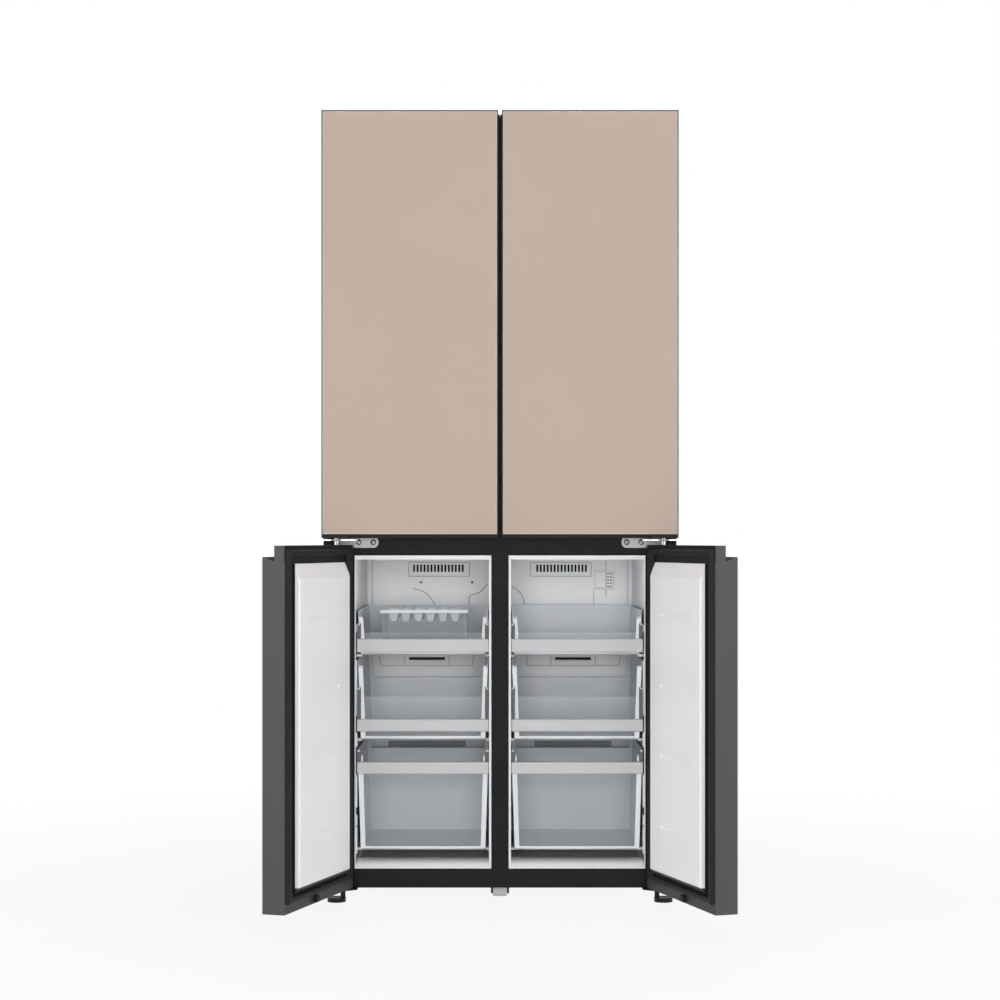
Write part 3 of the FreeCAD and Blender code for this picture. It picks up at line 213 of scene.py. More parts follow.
def beige_glass(name):
    """Satin glass of the door panels."""
    glass = Finish(name, Specular_IOR_Level=0.35).tint(BEIGE, 0.02, 3.0)
    return glass.rough(0.42, 0.5, 40.0).grain(2200.0, 0.000012, edge=0.0008)


def tub_plastic(name):
    """Milky plastic that lets a little light in."""
    tub = Finish(name, Subsurface_Weight=0.12, Subsurface_Scale=0.004)
    tub.tint(linear(211, 214, 218), 0.012, 6.0)
    return tub.rough(0.28, 0.36, 25.0).grain(500.0, 0.000004, edge=0.001)


BEIGE = linear(181, 163, 151)
TAUPE = linear(76, 74, 75)
WHITE = linear(240, 241, 242)
BLACK = linear(22, 22, 25)
RUBBER = linear(31, 31, 33)
ZINC = linear(190, 190, 188)
FINISHES = {
    "cream_glass": beige_glass("satin_beige_glass"),
    "taupe_glass": beige_glass("satin_beige_lower_glass"),
    "taupe_plastic": Finish("taupe_moulding", Specular_IOR_Level=0.3)
    .tint(TAUPE, 0.04, 14.0, (1, 1, 0.15))
    .rough(0.36, 0.46, 90.0).grain(1400.0, 0.00002, edge=0.0012),
    "white_plastic": Finish("white_liner").tint(WHITE, 0.015, 5.0)
    .rough(0.3, 0.4, 30.0).grain(900.0, 0.00001, edge=0.0012),
    "black_plastic": Finish("black_moulding", Specular_IOR_Level=0.2).tint(BLACK, 0.1, 20.0)
    .rough(0.36, 0.46, 60.0).grain(1500.0, 0.00002, edge=0.0008),
    "seal_rubber": Finish("seal_rubber", Specular_IOR_Level=0.2).tint(RUBBER, 0.08, 25.0)
    .rough(0.55, 0.66, 80.0).grain(700.0, 0.00003, edge=0.001),
    "case_steel": Finish("case_paint", Metallic=0.1).tint(linear(70, 68, 69), 0.04, 8.0)
    .rough(0.38, 0.46, 50.0).grain(1700.0, 0.000025, edge=0.0008),
    "rear_steel": Finish("rear_sheet", Metallic=0.35).tint(linear(168, 170, 172), 0.04, 8.0)
    .rough(0.4, 0.52, 35.0).grain(300.0, 0.00003, edge=0.0006),
    "zinc_steel": Finish("zinc_sheet", Metallic=0.95).tint(ZINC, 0.05, 60.0)
    .rough(0.26, 0.38, 220.0, (1, 0.15, 1)).grain(1300.0, 0.00001, edge=0.0006),
    "foam": Finish("foam").tint(linear(226, 212, 168), 0.06, 60.0)
    .rough(0.8, 0.9, 100.0).grain(420.0, 0.0002),
    "frosted_plastic": tub_plastic("white_tub"),
    "rail_plastic": Finish("rail_moulding").tint(linear(206, 206, 208), 0.015, 10.0)
    .rough(0.34, 0.42, 70.0).grain(1200.0, 0.000012, edge=0.0012),
    "clear_glass": Finish("clear_sheet", IOR=1.5).tint(linear(226, 234, 236), 0.01, 4.0)
    .rough(0.04, 0.08, 12.0).grain(40.0, 0.00001).clear(0.1, 0.85),
    "fin_aluminium": Finish("fin_aluminium", Metallic=1.0).tint(linear(205, 207, 209), 0.05, 30.0)
    .rough(0.28, 0.42, 120.0).grain(800.0, 0.00002),
    "pump_paint": Finish("pump_paint").tint(linear(30, 30, 31), 0.12, 20.0)
    .rough(0.3, 0.42, 50.0).grain(600.0, 0.00004, edge=0.001),
    "grey_plastic": Finish("grey_moulding").tint(linear(98, 100, 103), 0.04, 18.0)
    .rough(0.4, 0.5, 60.0).grain(1300.0, 0.00002, edge=0.0008),
}
# Painted shade: the grey of the plate behind the return slot.
RETURN_SHADE = Finish("return_slot_shade").tint(linear(156, 159, 162), 0.03, 30.0)
RETURN_SHADE.rough(0.5, 0.6, 60.0)
# Painted highlight: the pale colour of the beads around the door glass.
PAINTED_GLINT = Finish("painted_glint_edge").tint(linear(230, 221, 214), 0.02, 8.0).rough(0.2, 0.3, 40.0)
# Painted light: a lighter copy of the liner white, given to the lower door liners.
LIT_DOOR_WHITE = Finish("door_liner").tint(linear(250, 250, 250), 0.01, 5.0)
LIT_DOOR_WHITE.rough(0.34, 0.44, 30.0).grain(900.0, 0.00001, edge=0.0012)
TUB = tub_plastic("drawer_tub")

# Heights and depths between which a finish changes, for painted shade, painted light and the gasket
# foot, and the range of a normal that faces an axis
GRIP_SHADE_BAND = 811.5 * MM, 855.5 * MM
PLINTH_SHADE_BAND = 860 * MM, 871 * MM
FOOT_SHADE_BAND = 42 * MM, 66 * MM
LINER_FOOT = 88 * MM, 96.5 * MM
FLANGE_LIT_FACE = -98.4 * MM, -97.3 * MM
FACES, PAST_UNIT = 0.8, 1.1


def patch_frames(finish):
    """Painted shade on the frames: black in the grip recesses, a dark strip under the upper panels,
    a darker band on the inner faces at the foot of the lower doors.
    """
    grip = finish.within(finish.place, "Z", *GRIP_SHADE_BAND)
    sides = finish.within(finish.facing, "Y", -FACES, FACES)
    # Painted shade: the sides of the grip recesses are coloured black.
    finish.patched(finish.joined("MULTIPLY", grip, sides), BLACK, 0.85)
    # Painted shade: a dark strip on the frames under the upper door panels.
    finish.patched(finish.within(finish.place, "Z", *PLINTH_SHADE_BAND), linear(46, 41, 39), 0.6)
    # Painted shade: a darker band on the inner faces of the frames near the foot of the lower doors.
    foot = finish.within(finish.place, "Z", *FOOT_SHADE_BAND)
    inner = finish.joined("MAXIMUM", finish.within(finish.facing, "X", FACES, PAST_UNIT),
                          finish.within(finish.facing, "X", -PAST_UNIT, -FACES))
    finish.patched(finish.joined("MULTIPLY", foot, inner), linear(54, 52, 53), 0.5)


def patch_door_liners(finish):
    """Painted shade on the free edge that faces the front, greyer than the rest of the liner, and a
    dark foot where the gasket laps over the liner.
    """
    edge = finish.within(finish.facing, "Y", -PAST_UNIT, -FACES)
    # Painted shade: the faces of the free edge that face the front are greyer than the rest of the
    # liner.
    finish.patched(edge, linear(238, 238, 239), 0.44)
    finish.patched(finish.within(finish.place, "Z", *LINER_FOOT), RUBBER, 0.6)


def dress_nodes():
    """Give every CAD node the finish of its slot, or one of its own."""
    for part in frame["record"]["subparts"]:
        finish = FINISHES[part["material_slot"]]
        if part["node"].endswith("lower_liner"):
            finish = LIT_DOOR_WHITE
        elif part["node"] == "roller_brackets":
            finish = FINISHES["pump_paint"]
        materials = nodes[part["node"]].data.materials
        materials.clear()
        materials.append(finish.material)


patch_frames(FINISHES["taupe_plastic"])
patch_door_liners(LIT_DOOR_WHITE)
# Painted light: the front faces of the drawer flanges are lighter than the rest of the tub.
TUB.patched(TUB.within(TUB.place, "Y", *FLANGE_LIT_FACE), linear(236, 238, 241), 0.34)
dress_nodes()


# Shapes

def as_object(name, mesh):
    """Turn a bmesh into an object of the scene."""
    bmesh.ops.recalc_face_normals(mesh, faces=mesh.faces[:])
    data = bpy.data.meshes.new(name)
    mesh.to_mesh(data)
    mesh.free()
    made = bpy.data.objects.new(name, data)
    scene.collection.objects.link(made)
    return made


def piece(name, mesh, body, slot, finish=None):
    """A named piece from a bmesh, riding a body in a finish of its own or that of its slot."""
    made = as_object(name, mesh)
    made.data.materials.append((finish or FINISHES[slot]).material)
    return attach(made, body)


def welded(node):
    """The mesh of a CAD node as a bmesh, with the points of neighbouring faces joined."""
    mesh = bmesh.new()
    mesh.from_mesh(nodes[node].data)
    bmesh.ops.remove_doubles(mesh, verts=mesh.verts[:], dist=WELD_DISTANCE)
    return mesh


def merge_flat(mesh):
    """Make one face of all neighbouring faces that lie in a plane."""
    bmesh.ops.dissolve_limit(
        mesh, angle_limit=FLAT_ANGLE, verts=mesh.verts[:], edges=mesh.edges[:])


def in_mm(points, sign=1):
    """Points in metres from pairs in millimetres, with the first number on the given side."""
    return [(sign * one * MM, other * MM) for one, other in points]


def rectangle(low_a, low_b, high_a, high_b):
    return (low_a, low_b), (high_a, low_b), (high_a, high_b), (low_a, high_b)


def join_rings(mesh, lower, upper):
    """Faces all round between two rings of as many points."""
    for step in range(len(lower)):
        mesh.faces.new((lower[step - 1], lower[step], upper[step], upper[step - 1]))


def prism(mesh, axis, low, high, corners):
    """Add a solid that runs from low to high along an axis, with its outline in the other two."""
    rings = []
    for level in (low, high):
        spots = [list(corner) for corner in corners]
        for spot in spots:
            spot.insert(axis, level)
        rings.append([mesh.verts.new(spot) for spot in spots])
        mesh.faces.new(rings[-1])
    join_rings(mesh, *rings)


def soften(mesh, radius, segments=2):
    """Round every sharp edge."""
    bmesh.ops.recalc_face_normals(mesh, faces=mesh.faces[:])
    mesh.normal_update()
    sharp = [edge for edge in mesh.edges if edge.calc_face_angle(0) > SHARP_ANGLE]
    bmesh.ops.bevel(
        mesh, geom=sharp, offset=radius, segments=segments, profile=0.5, affect="EDGES")


def lines(name, body, slot, radius, runs, finish=None, curved=False, closed=False):
    """Thin round beads along runs of points, riding a body."""
    data = bpy.data.curves.new(name, "CURVE")
    data.dimensions = "3D"
    data.bevel_depth = radius
    data.bevel_resolution = 2
    data.use_fill_caps = True
    for run in runs:
        line = data.splines.new("NURBS" if curved else "POLY")
        line.points.add(len(run) - 1)
        for point, spot in zip(line.points, run):
            point.co = (*spot, 1)
        line.use_cyclic_u = closed
        if curved:
            line.order_u = 3
            line.use_endpoint_u = True
    data.materials.append((finish or FINISHES[slot]).material)
    made = bpy.data.objects.new(name, data)
    scene.collection.objects.link(made)
    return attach(made, body)


# Door panels

GLINT_BEAD = 0.8 * MM


def panel_glints():
    """Pale bead around the glass of each door, a painted highlight for the glint along the glass
    edge.
    """
    for side in SIDES:
        for door, slot in (("upper", "cream_glass"), ("lower", "taupe_glass")):
            mesh = welded("%s_%s_panel" % (side, door))
            merge_flat(mesh)
            face = sorted(mesh.faces, key=lambda each: each.calc_area())[-2]
            outline = [vert.co.copy() for vert in face.verts]
            body = "%s_%s_door" % (side, door)
            # Painted highlight along the outline of the glass.
            lines(body + "_edge", body, slot, GLINT_BEAD, [outline], finish=PAINTED_GLINT, closed=True)
            mesh.free()


# Freezer drawers: a white tub with a drafted wall, a clear front and dark end caps

FLANGE = 12 * MM
TUB_WALL = 2.5 * MM
TUB_DRAFT = 8 * MM
TUB_SILL = 9 * MM
LIPS = {"upper": 638 * MM, "middle": 486 * MM, "lower": 326 * MM}
LIP_BEAD = 2.5 * MM
WINDOW_SETBACK = 0.2 * MM
WINDOW_ROUND = 0.5 * MM
RAIL_TOPS = {"upper": 623.7 * MM, "middle": 433.2 * MM, "lower": 331.7 * MM}
CAP_WIDTH = 8.6 * MM
CAP_INSET = 0.2 * MM
CAP_DEPTH = 12 * MM
CAP_SEAT = 0.1 * MM
CAP_CHAMFER = 5 * MM
CAP_ROUND = 0.8 * MM
RIM_ROUND = 26 * MM
RIM_STEPS = 6
RIM_SHADOW_RADIUS = 1.0 * MM
ICE_TOP = 681.5 * MM
ICE_ROUND = 0.5 * MM


def drafted_side(across, height, low, high):
    """Where a point of the tub's side lies once the wall leans in."""
    middle = (low.x + high.x) / 2
    share = 1 - (height - low.z) / (high.z - low.z)
    return across + TUB_DRAFT * share * (middle - across) / (high.x - middle)


def drafted(mesh, low, high):
    """Lean the side walls in towards the floor of the tub."""
    for vert in mesh.verts:
        vert.co.x = drafted_side(vert.co.x, vert.co.z, low, high)


def open_tub(node, low, high):
    """The drawer's bin with its front wall taken out between the side flanges."""
    opening = bmesh.new()
    prism(opening, 2, low.z + TUB_SILL, high.z + TUB_SILL, rectangle(
        low.x + FLANGE, low.y - TUB_WALL, high.x - FLANGE, low.y + TUB_WALL * 1.5))
    cutter = as_object("cutter", opening)
    whole = as_object("whole", welded(node))
    cut = whole.modifiers.new("opening", "BOOLEAN")
    cut.object = cutter
    cut.operation = "DIFFERENCE"
    cut.solver = "EXACT"
    depsgraph = bpy.context.evaluated_depsgraph_get()
    cut_data = bpy.data.meshes.new_from_object(whole.evaluated_get(depsgraph))
    for helper in (cutter, whole):
        bpy.data.objects.remove(helper)
    mesh = bmesh.new()
    mesh.from_mesh(cut_data)
    drafted(mesh, low, high)
    return mesh


def drawer_window(low, high, lip):
    """Clear front between the flanges, with a bead along its top edge."""
    mesh = bmesh.new()
    front, back = low.y + WINDOW_SETBACK, low.y + TUB_WALL
    prism(mesh, 0, low.x + FLANGE, high.x - FLANGE, (
        (front, low.z + TUB_SILL), (back, low.z + TUB_SILL), (back, lip - LIP_BEAD),
        (back + LIP_BEAD, lip - LIP_BEAD), (back + LIP_BEAD, lip), (front, lip)))
    soften(mesh, WINDOW_ROUND)
    drafted(mesh, low, high)
    return mesh


def end_caps(foot, top, low, high):
    """Dark covers over the two upright brackets of a drawer rail."""
    mesh = bmesh.new()
    front, seat = low.y - CAP_DEPTH, low.y - CAP_SEAT
    for left in (low.x, high.x - CAP_WIDTH):
        prism(mesh, 0, left + CAP_INSET, left + CAP_WIDTH - CAP_INSET, (
            (front, foot), (seat, foot), (seat, top),
            (front + CAP_CHAMFER, top), (front, top - CAP_CHAMFER)))
    soften(mesh, CAP_ROUND)
    return mesh


def drawers():
    """Tub, window and end caps of the six drawers."""
    for side in SIDES:
        for drawer in DRAWERS:
            body = "%s_drawer_%s" % (side, drawer)
            low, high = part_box(body + "_bin")
            rail_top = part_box(body + "_rail")[1].z
            tub = piece(
                body + "_tub", open_tub(body + "_bin", low, high), body, "frosted_plastic", TUB)
            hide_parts(body + "_bin")
            window = drawer_window(low, high, LIPS[drawer])
            piece(body + "_window", window, body, "clear_glass")
            caps = end_caps(RAIL_TOPS[drawer], rail_top, low, high)
            piece(body + "_end_caps", caps, body, "grey_plastic")


def rim_shadows():
    """Dark line up the front flanges of each drawer, over the round corner and along the rim:
    painted shadow in the gap between the drawer and the freezer wall.
    """
    for side in SIDES:
        for drawer in DRAWERS:
            body = "%s_drawer_%s" % (side, drawer)
            low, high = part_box(body + "_bin")
            profile = [(low.y, LIPS[drawer])]
            for step in range(RIM_STEPS + 1):
                turn = math.pi / 2 * step / RIM_STEPS
                profile.append((low.y + RIM_ROUND * (1 - math.cos(turn)),
                                high.z - RIM_ROUND * (1 - math.sin(turn))))
            profile.append((high.y, high.z))
            # Painted shadow: the dark lines follow the gap between the drawer and the freezer wall.
            runs = [[(drafted_side(edge, height, low, high), along, height)
                     for along, height in profile] for edge in (low.x, high.x)]
            lines(body + "_rim_shadow", body, "black_plastic", RIM_SHADOW_RADIUS, runs)


def islands(mesh):
    """The sets of points that edges join, one set for each solid in the mesh."""
    seen = set()
    for start in mesh.verts:
        if start in seen:
            continue
        island = {start}
        waiting = [start]
        while waiting:
            for edge in waiting.pop().link_edges:
                fresh = set(edge.verts) - island
                island |= fresh
                waiting.extend(fresh)
        seen |= island
        yield island


def ice_part(tray):
    """The ice store or the tray on it, from the CAD node that holds both, with softened edges."""
    mesh = welded("left_ice_box")
    spare = []
    for island in islands(mesh):
        if (max(vert.co.z for vert in island) > ICE_TOP + LIP_BEAD) != tray:
            spare.extend(island)
    bmesh.ops.delete(mesh, geom=spare, context="VERTS")
    merge_flat(mesh)
    soften(mesh, ICE_ROUND, 1)
    return mesh


def ice_box():
    """Clear ice store with a milky tray on it."""
    store = piece("left_ice_store", ice_part(False), "left_drawer_upper", "clear_glass")
    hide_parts("left_ice_box")
    piece("left_ice_tray", ice_part(True), "left_drawer_upper", "frosted_plastic")


# Fasteners

ROUND_SIDES = 24
SCREW_PROFILE = (1.0, 0.0), (1.0, 0.4), (0.9, 0.75), (0.66, 1.0)
RECESS_LENGTH, RECESS_WIDTH = 0.5, 0.13
RECESS_RINGS = (1.0, 1.0), (0.25, 0.7)
HINGE_SCREW = {"radius": 5 * MM, "height": 2.6 * MM}
COVER_SCREW = {"radius": 3 * MM, "height": 2.6 * MM}
REAR_SCREW = {"radius": 4.5 * MM, "height": 1.8 * MM}
HINGE_PLATE_FACE, HINGE_PLATE_MIDDLE = -130.8 * MM, 853.3 * MM
HINGE_SCREW_REACH = 334.1 * MM, 299.6 * MM
WASHER = {"inner": 4.6 * MM, "outer": 6.8 * MM, "height": 0.8 * MM}
COVER_FACE = 364.2 * MM
COVER_SCREW_SPOTS = (-204.7, 748), (-72.3, 748)
REAR_FACE = 544.2 * MM
REAR_SCREW_REACH = 403
REAR_SIDE_HEIGHTS = 55, 245, 285, 665, 1045, 1425, 1805
REAR_MIDDLE_HEIGHTS = 245, 285, 1805


def stand_at(spot, facing):
    """The placing of a round fitting that is drawn upright and stands out from spot."""
    turn = Vector(facing).to_track_quat("Z", "Y").to_matrix().to_4x4()
    return Matrix.Translation(spot) @ turn


def circle(mesh, stand, radius, height, first=0):
    """A ring of points, the first of them a number of steps from the X axis."""
    angles = [math.tau * (step + first) / ROUND_SIDES for step in range(ROUND_SIDES)]
    return [mesh.verts.new(stand @ Vector((
        radius * math.cos(angle), radius * math.sin(angle), height))) for angle in angles]


def screw(mesh, spot, facing, radius, height):
    """Pan-head screw with a cross recess, seated at spot."""
    stand = stand_at(spot, facing)
    rings = [circle(mesh, stand, radius * reach, height * lift, -1)
             for reach, lift in SCREW_PROFILE]
    long, wide = radius * RECESS_LENGTH, radius * RECESS_WIDTH
    quarter = (long, -wide), (long, wide), (wide, wide)
    slots = []
    for lift, size in RECESS_RINGS:
        slots.append([])
        for turn in range(4):
            spin = Matrix.Rotation(turn * math.pi / 2, 3, "Z")
            for along, across in quarter:
                corner = spin @ Vector((along * size, across * size, height * lift))
                slots[-1].append(mesh.verts.new(stand @ corner))
    upper, lower = slots
    mesh.faces.new(rings[0])
    mesh.faces.new(lower)
    for below, above in zip(rings, rings[1:]):
        join_rings(mesh, below, above)
    top = rings[-1]
    for step, corner in enumerate(upper):
        following = (step + 1) % len(upper)
        around = [top[(step * 2 + offset) % ROUND_SIDES] for offset in range(3)]
        mesh.faces.new([corner] + around + [upper[following]])
        mesh.faces.new((corner, upper[following], lower[following], lower[step]))


def ring(mesh, spot, facing, inner, outer, height):
    """Flat washer seated at spot."""
    stand = stand_at(spot, facing)
    rims = [circle(mesh, stand, radius, height * lift) for radius, lift in (
        (inner, 0), (outer, 0), (outer, 0.6), (outer * 0.96, 1), (inner, 1))]
    for lower, upper in zip(rims, rims[1:] + rims[:1]):
        join_rings(mesh, lower, upper)


def screws(name, slot, spots, facing, size):
    """Screws of one kind on the cabinet."""
    mesh = bmesh.new()
    for spot in spots:
        screw(mesh, spot, facing, **size)
    piece(name, mesh, "cabinet", slot)


def fasteners():
    """Screws of the hinge plates, the left freezer's back cover and the back sheet."""
    hinge_spots = [(sign * reach, HINGE_PLATE_FACE, HINGE_PLATE_MIDDLE)
                   for sign in SIDES.values() for reach in HINGE_SCREW_REACH]
    screws("hinge_screws", "zinc_steel", hinge_spots, FRONT, HINGE_SCREW)
    washers = bmesh.new()
    for spot in hinge_spots:
        ring(washers, spot, FRONT, **WASHER)
    piece("hinge_washers", washers, "cabinet", "black_plastic")
    screws("cover_screws", "grey_plastic", on_cover(COVER_SCREW_SPOTS), FRONT, COVER_SCREW)
    rear_spots = [(sign * REAR_SCREW_REACH, height)
                  for sign in SIDES.values() for height in REAR_SIDE_HEIGHTS]
    rear_spots += [(0, height) for height in REAR_MIDDLE_HEIGHTS]
    rear_spots = [(across, REAR_FACE, height) for across, height in in_mm(rear_spots)]
    screws("rear_screws", "zinc_steel", rear_spots, REAR, REAR_SCREW)


# Freezer back covers

DUCT_FACE = 345.8 * MM
SEAM_BEAD = 0.8 * MM
LINE_BEAD = 0.6 * MM
SEAMS = (
    ((-32.4, 743.6), (-52, 718), (-77.2, 717), (-80.5, 703), (-79.8, 689.7)),
    ((-224.7, 732), (-205, 729), (-182, 713), (-167, 689.7)),
    ((26, 740), (47.6, 727), (60, 711), (63, 689.7)),
)
COVER_SHADOW_EDGES = (
    ((331, 580), (331, 800), (327, 806)),
    ((236.2, 763.8), (236.2, 800.2), (78.8, 800.2), (78.8, 763.8), (236.2, 763.8)),
    ((316.2, 587), (308.2, 532.2), (71.5, 532.2), (63.5, 587)),
)
RIGHT_EDGES = (
    ((243.3, 731), (243.3, 689.7)),
    ((274.5, 777), (274.5, 802)),
    ((274.5, 731), (274.5, 709)),
)
DUCT_EDGE_REACH = 131.5 * MM, 245.5 * MM
DUCT_EDGE_HEIGHTS = 534 * MM, 587 * MM
SHADE_PLATE_THICK = 2 * MM
SHADE_PLATE_ROUND = 0.5 * MM
# Plates that paint the shade in the slots, by name: slot, finish of its own, depth of the face, and
# two corners in millimetres.
SHADE_PLATES = {
    "louvre_shade_plates": ("black_plastic", None, 369.8 * MM, (86, 771), (230, 798)),
    "duct_shade_plates": ("black_plastic", None, 369.8 * MM, (138, 544), (239, 559)),
    "return_shade_plates": ("grey_plastic", RETURN_SHADE, 366.6 * MM, (89.4, 322.4), (288.6, 337.6)),
}
SENSOR_FACE = 355.2 * MM
SENSOR_COLUMNS = 279.6 * MM, 286.6 * MM
SENSOR_FIRST, SENSOR_STEP, SENSOR_ROWS = 737.5, 8.2, 5
SENSOR_HOLE = {"inner": 0.05 * MM, "outer": 2 * MM, "height": 0.3 * MM}
SENSOR_GROOVE = (273.9, 735), (275.1, 773)


def on_cover(points, sign=1):
    """Points on the face of the back covers from pairs in millimetres."""
    return [(across, COVER_FACE, height) for across, height in in_mm(points, sign)]


def shade_plates():
    """Dark plates behind the slots of the freezer back covers: painted shade for the space behind
    the slots.
    """
    for name, (slot, finish, face, low, high) in SHADE_PLATES.items():
        mesh = bmesh.new()
        for sign in SIDES.values():
            (near, bottom), (far, top) = sorted(in_mm((low, high), sign))
            bottom, top = sorted((bottom, top))
            prism(mesh, 1, face, face + SHADE_PLATE_THICK, rectangle(near, bottom, far, top))
        soften(mesh, SHADE_PLATE_ROUND)
        piece(name, mesh, "cabinet", slot, finish)


def cover_lines():
    """Fine lines moulded into the freezer back covers, and dark lines along the edges of ducts and
    louvres: painted shadow at the raised plates.
    """
    edges = [on_cover(run, sign) for sign in SIDES.values() for run in COVER_SHADOW_EDGES]
    edges += [on_cover(run) for run in RIGHT_EDGES]
    seams = [on_cover(run) for run in SEAMS]
    lines("cover_seams", "cabinet", "grey_plastic", SEAM_BEAD, seams, curved=True)
    # Painted shadow along the raised duct and louvre plates and the outer side of each cover, with
    # groove lines on the right cover.
    lines("cover_shadows_and_grooves", "cabinet", "grey_plastic", LINE_BEAD, edges)
    # Painted shadow down the sides of the raised duct blocks.
    block = [[(sign * across, DUCT_FACE, height) for height in DUCT_EDGE_HEIGHTS]
             for sign in SIDES.values() for across in DUCT_EDGE_REACH]
    lines("duct_edge_shadows", "cabinet", "grey_plastic", LINE_BEAD, block)


def sensor_front():
    """Black discs and a black strip on the sensor cover of the right freezer: painted shade in its
    holes and its groove.
    """
    mesh = bmesh.new()
    for across in SENSOR_COLUMNS:
        for row in range(SENSOR_ROWS):
            height = (SENSOR_FIRST + SENSOR_STEP * row) * MM
            ring(mesh, (across, SENSOR_FACE, height), FRONT, **SENSOR_HOLE)
    (left, bottom), (right, top) = in_mm(SENSOR_GROOVE)
    front = SENSOR_FACE - SENSOR_HOLE["height"]
    prism(mesh, 1, front, SENSOR_FACE, rectangle(left, bottom, right, top))
    # Painted shade: black in the holes and the groove.
    piece("sensor_hole_shade", mesh, "cabinet", "black_plastic")


# Trim: profiles as pairs in millimetres

FIN_SPAN = 870 * MM, 1855 * MM
FIN_PROFILE = (
    (4.65, -178.6), (1.3, -178.6), (0.4, -177.4), (0.4, -175.2), (1.3, -174), (4.65, -174))
SILL_REACH = 24 * MM, 341 * MM
SILL_PROFILE = (
    (-125.5, 80.8), (-124.5, 84), (-117, 92), (-106, 96.5), (-70, 98.5), (-66, 97), (-63, 80.8))
SILL_ROUND = 1.2 * MM
GUIDE_PROFILES = ((344.2, -96), (339.6, -92)), ((20.3, -96), (26.4, -92))
GUIDE_SPANS = (112, 176), (179, 204), (222, 300), (366, 400), (440, 572), (640, 656)
GUIDE_ROUND = 0.6 * MM
HEM_REACH = 417.4 * MM
HEM_PROFILE = (
    (536.5, 1834.9), (536.5, 1835.5), (542.6, 1835.5), (543.6, 1834.6), (543.6, 1830.2),
    (541.4, 1830.2), (541.4, 1834.9))
LIP_SPAN = 82 * MM, 807 * MM
LIP_PROFILE = (458.3, -509.2), (448.6, -512.3), (448.9, -513.2), (458.6, -510.1)
STOP_SPAN = 45.4 * MM, 60.6 * MM
STOP_PROFILE = (418.8, -388.3), (409.7, -391.2), (404.9, -376.8), (414.1, -373.8)
STOP_ROUND = 1.2 * MM


def edge_fins():
    """Soft fins that close the gap between the upper doors."""
    for side, sign in SIDES.items():
        mesh = bmesh.new()
        prism(mesh, 2, *FIN_SPAN, in_mm(FIN_PROFILE, sign))
        piece(side + "_upper_edge_fin", mesh, side + "_upper_door", "seal_rubber")


def sills():
    """Sloped white sill along the front of each freezer floor."""
    mesh = bmesh.new()
    for sign in SIDES.values():
        near, far = sorted(sign * reach for reach in SILL_REACH)
        prism(mesh, 0, near, far, in_mm(SILL_PROFILE))
    soften(mesh, SILL_ROUND)
    piece("freezer_sills", mesh, "cabinet", "white_plastic")


def guides():
    """Pale guide strips beside the drawers on the freezer walls, with small gaps."""
    mesh = bmesh.new()
    for sign in SIDES.values():
        for profile in GUIDE_PROFILES:
            (wall, front), (face, back) = in_mm(profile, sign)
            near, far = sorted((wall, face))
            for low, high in in_mm(GUIDE_SPANS):
                prism(mesh, 2, low, high, rectangle(near, front, far, back))
    soften(mesh, GUIDE_ROUND)
    piece("drawer_guides", mesh, "cabinet", "white_plastic")


def rear_hem():
    """Folded hem that closes the case over the top of the back sheet."""
    mesh = bmesh.new()
    prism(mesh, 0, -HEM_REACH, HEM_REACH, in_mm(HEM_PROFILE))
    piece("rear_hem", mesh, "cabinet", "case_steel")


def gasket_lips():
    """Black lip of the lower door gaskets up the free edge of the liner."""
    for side, sign in SIDES.items():
        mesh = bmesh.new()
        prism(mesh, 2, *LIP_SPAN, in_mm(LIP_PROFILE, sign))
        piece(side + "_lower_gasket_lip", mesh, side + "_lower_door", "seal_rubber")


def stop_caps():
    """Rubber caps on the stops at the foot of the lower doors."""
    for side, sign in SIDES.items():
        mesh = bmesh.new()
        prism(mesh, 2, *STOP_SPAN, in_mm(STOP_PROFILE, sign))
        soften(mesh, STOP_ROUND)
        piece(side + "_lower_stop_cap", mesh, side + "_lower_door", "seal_rubber")


panel_glints()
drawers()
ice_box()
fasteners()
edge_fins()
shade_plates()
sills()
cover_lines()
rim_shadows()
guides()
rear_hem()
gasket_lips()
sensor_front()
stop_caps()


# Studio and camera

AMBIENT = 0.1
FLOOR_SIZE = 60
FLOOR_GLOW = 0.88
FLOOR_FADE = 0.7, 2.4
# Name, place, target, size, power in watts, and whether it shows in gloss
LAMPS = (
    ("front", (0, -6.0, 1.0), (0, 0, 0.7), (2.0, 1.6), 175, False),
    ("top", (0, -3.2, 4.3), (0, -0.1, 0.6), (3.0, 1.4), 24, False),
    ("left", (-4.5, -2.3, 1.2), (0.4, -0.3, 0.6), (1.4, 1.8), 66, True),
    ("right", (4.5, -2.3, 1.2), (-0.4, -0.3, 0.6), (1.4, 1.8), 66, True),
    ("left_freezer", (-0.18, -0.09, 0.802), (-0.18, 0.3, 0.5), (0.26, 0.03), 0.1, False),
    ("right_freezer", (0.18, -0.09, 0.802), (0.18, 0.3, 0.5), (0.26, 0.03), 0.1, False),
    ("rear", (0.8, 4.2, 3.0), (0, 0.2, 1.0), (3.0, 2.4), 60, True),
)
CAMERA_PLACE = (0, -5.293, 0.868)
CAMERA_TURN = (math.pi / 2, 0, 0)
SENSOR_WIDTH = 36
LENS = 78.6
SHIFT_UP = 0.036


def seen_rays(tree):
    """1 for the rays that show the surround: from the camera, off gloss and through glass."""
    rays = tree.nodes.new("ShaderNodeLightPath")
    seen = rays.outputs["Is Camera Ray"]
    for kind in ("Is Glossy Ray", "Is Transmission Ray"):
        either = tree.nodes.new("ShaderNodeMath")
        either.operation = "MAXIMUM"
        tree.links.new(seen, either.inputs[0])
        tree.links.new(rays.outputs[kind], either.inputs[1])
        seen = either.outputs["Value"]
    return seen


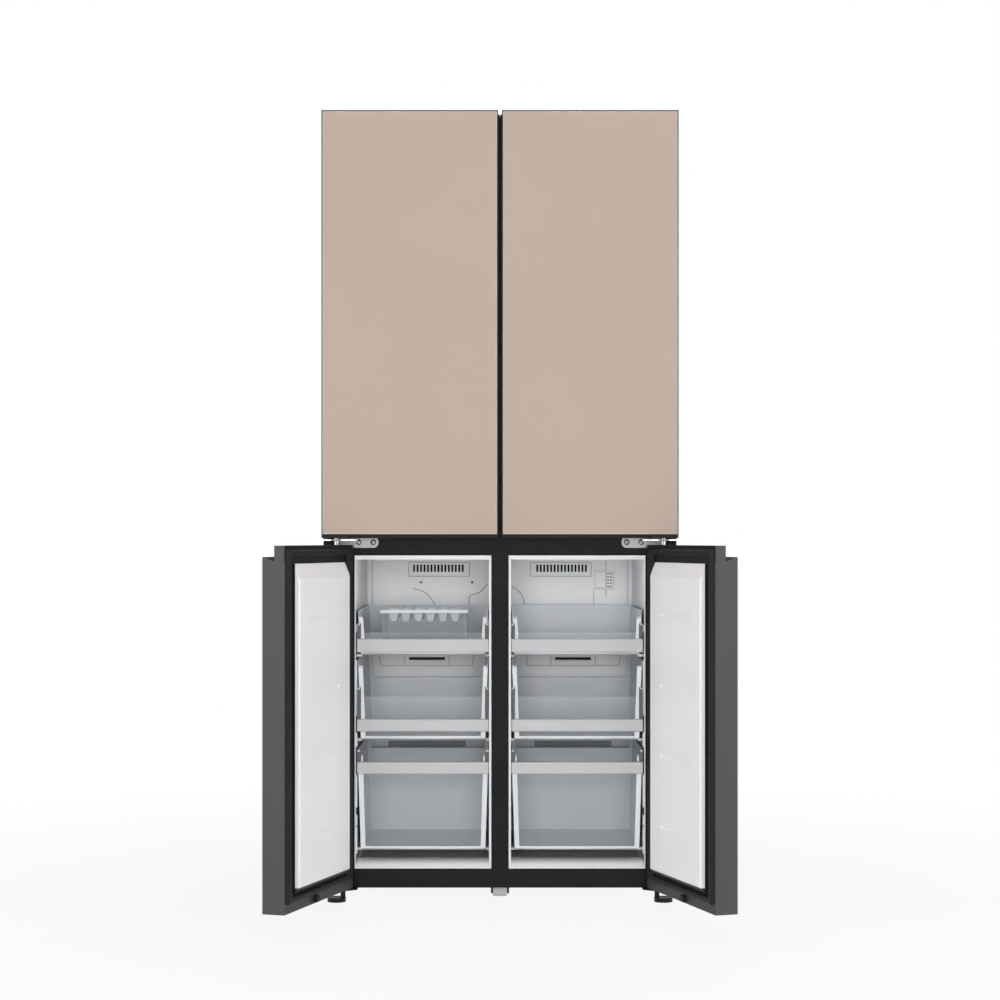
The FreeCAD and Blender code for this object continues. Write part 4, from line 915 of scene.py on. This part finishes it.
def surround():
    """White where it is seen, and a weak fill light on the object."""
    world = bpy.data.worlds.new("surround")
    scene.world = world
    world.use_nodes = True
    tree = world.node_tree
    background = tree.nodes["Background"]
    level = tree.nodes.new("ShaderNodeMapRange")
    level.inputs["To Min"].default_value = AMBIENT
    level.inputs["To Max"].default_value = 1.0
    tree.links.new(seen_rays(tree), level.inputs["Value"])
    tree.links.new(level.outputs["Result"], background.inputs["Strength"])
    background.inputs["Color"].default_value = (1, 1, 1, 1)


def pale_floor():
    """A pale floor that keeps a soft shadow and fades into the surround."""
    bpy.ops.mesh.primitive_plane_add(size=FLOOR_SIZE)
    floor = bpy.context.object
    floor.name = "floor"
    floor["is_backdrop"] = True
    pale = Finish("pale_floor").tint(linear(246, 246, 246), 0.01, 2.0).rough(0.6, 0.7, 5.0)
    glow = pale.add("ShaderNodeEmission")
    mix = pale.add("ShaderNodeMixShader")
    distance = pale.add("ShaderNodeVectorMath", operation="LENGTH")
    pale.link(pale.place, distance.inputs[0])
    fade = pale.span(distance.outputs["Value"], FLOOR_GLOW, 1.0, *FLOOR_FADE)
    share = pale.joined("MULTIPLY", seen_rays(pale.tree), fade)
    pale.link(share, mix.inputs["Fac"])
    pale.link(pale.shader.outputs["BSDF"], mix.inputs[1])
    pale.link(glow.outputs["Emission"], mix.inputs[2])
    pale.link(mix.outputs["Shader"], pale.tree.nodes["Material Output"].inputs["Surface"])
    floor.data.materials.append(pale.material)


def lamps():
    """Broad soft lamps, two of them weak ones inside the freezers."""
    for name, place, target, size, power, glossy in LAMPS:
        lamp = bpy.data.lights.new(name, "AREA")
        lamp.shape = "RECTANGLE"
        lamp.size, lamp.size_y = size
        lamp.energy = power
        holder = bpy.data.objects.new(name, lamp)
        scene.collection.objects.link(holder)
        holder.location = place
        aim = Vector(target) - Vector(place)
        holder.rotation_euler = aim.to_track_quat("-Z", "Y").to_euler()
        holder.visible_camera = False
        holder.visible_glossy = glossy


def place_camera():
    """The photograph's viewpoint, in front of the doors."""
    camera = bpy.data.cameras.new("camera")
    camera.sensor_width = SENSOR_WIDTH
    camera.lens = LENS
    camera.shift_y = SHIFT_UP
    viewer = bpy.data.objects.new("camera", camera)
    scene.collection.objects.link(viewer)
    viewer.location = CAMERA_PLACE
    viewer.rotation_euler = CAMERA_TURN
    scene.camera = viewer


surround()
pale_floor()
lamps()
place_camera()
scene.view_settings.view_transform = "Standard"

visual_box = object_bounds()
[[list(map(float, corner)) for corner in box] for box in (cad_box, visual_box)]
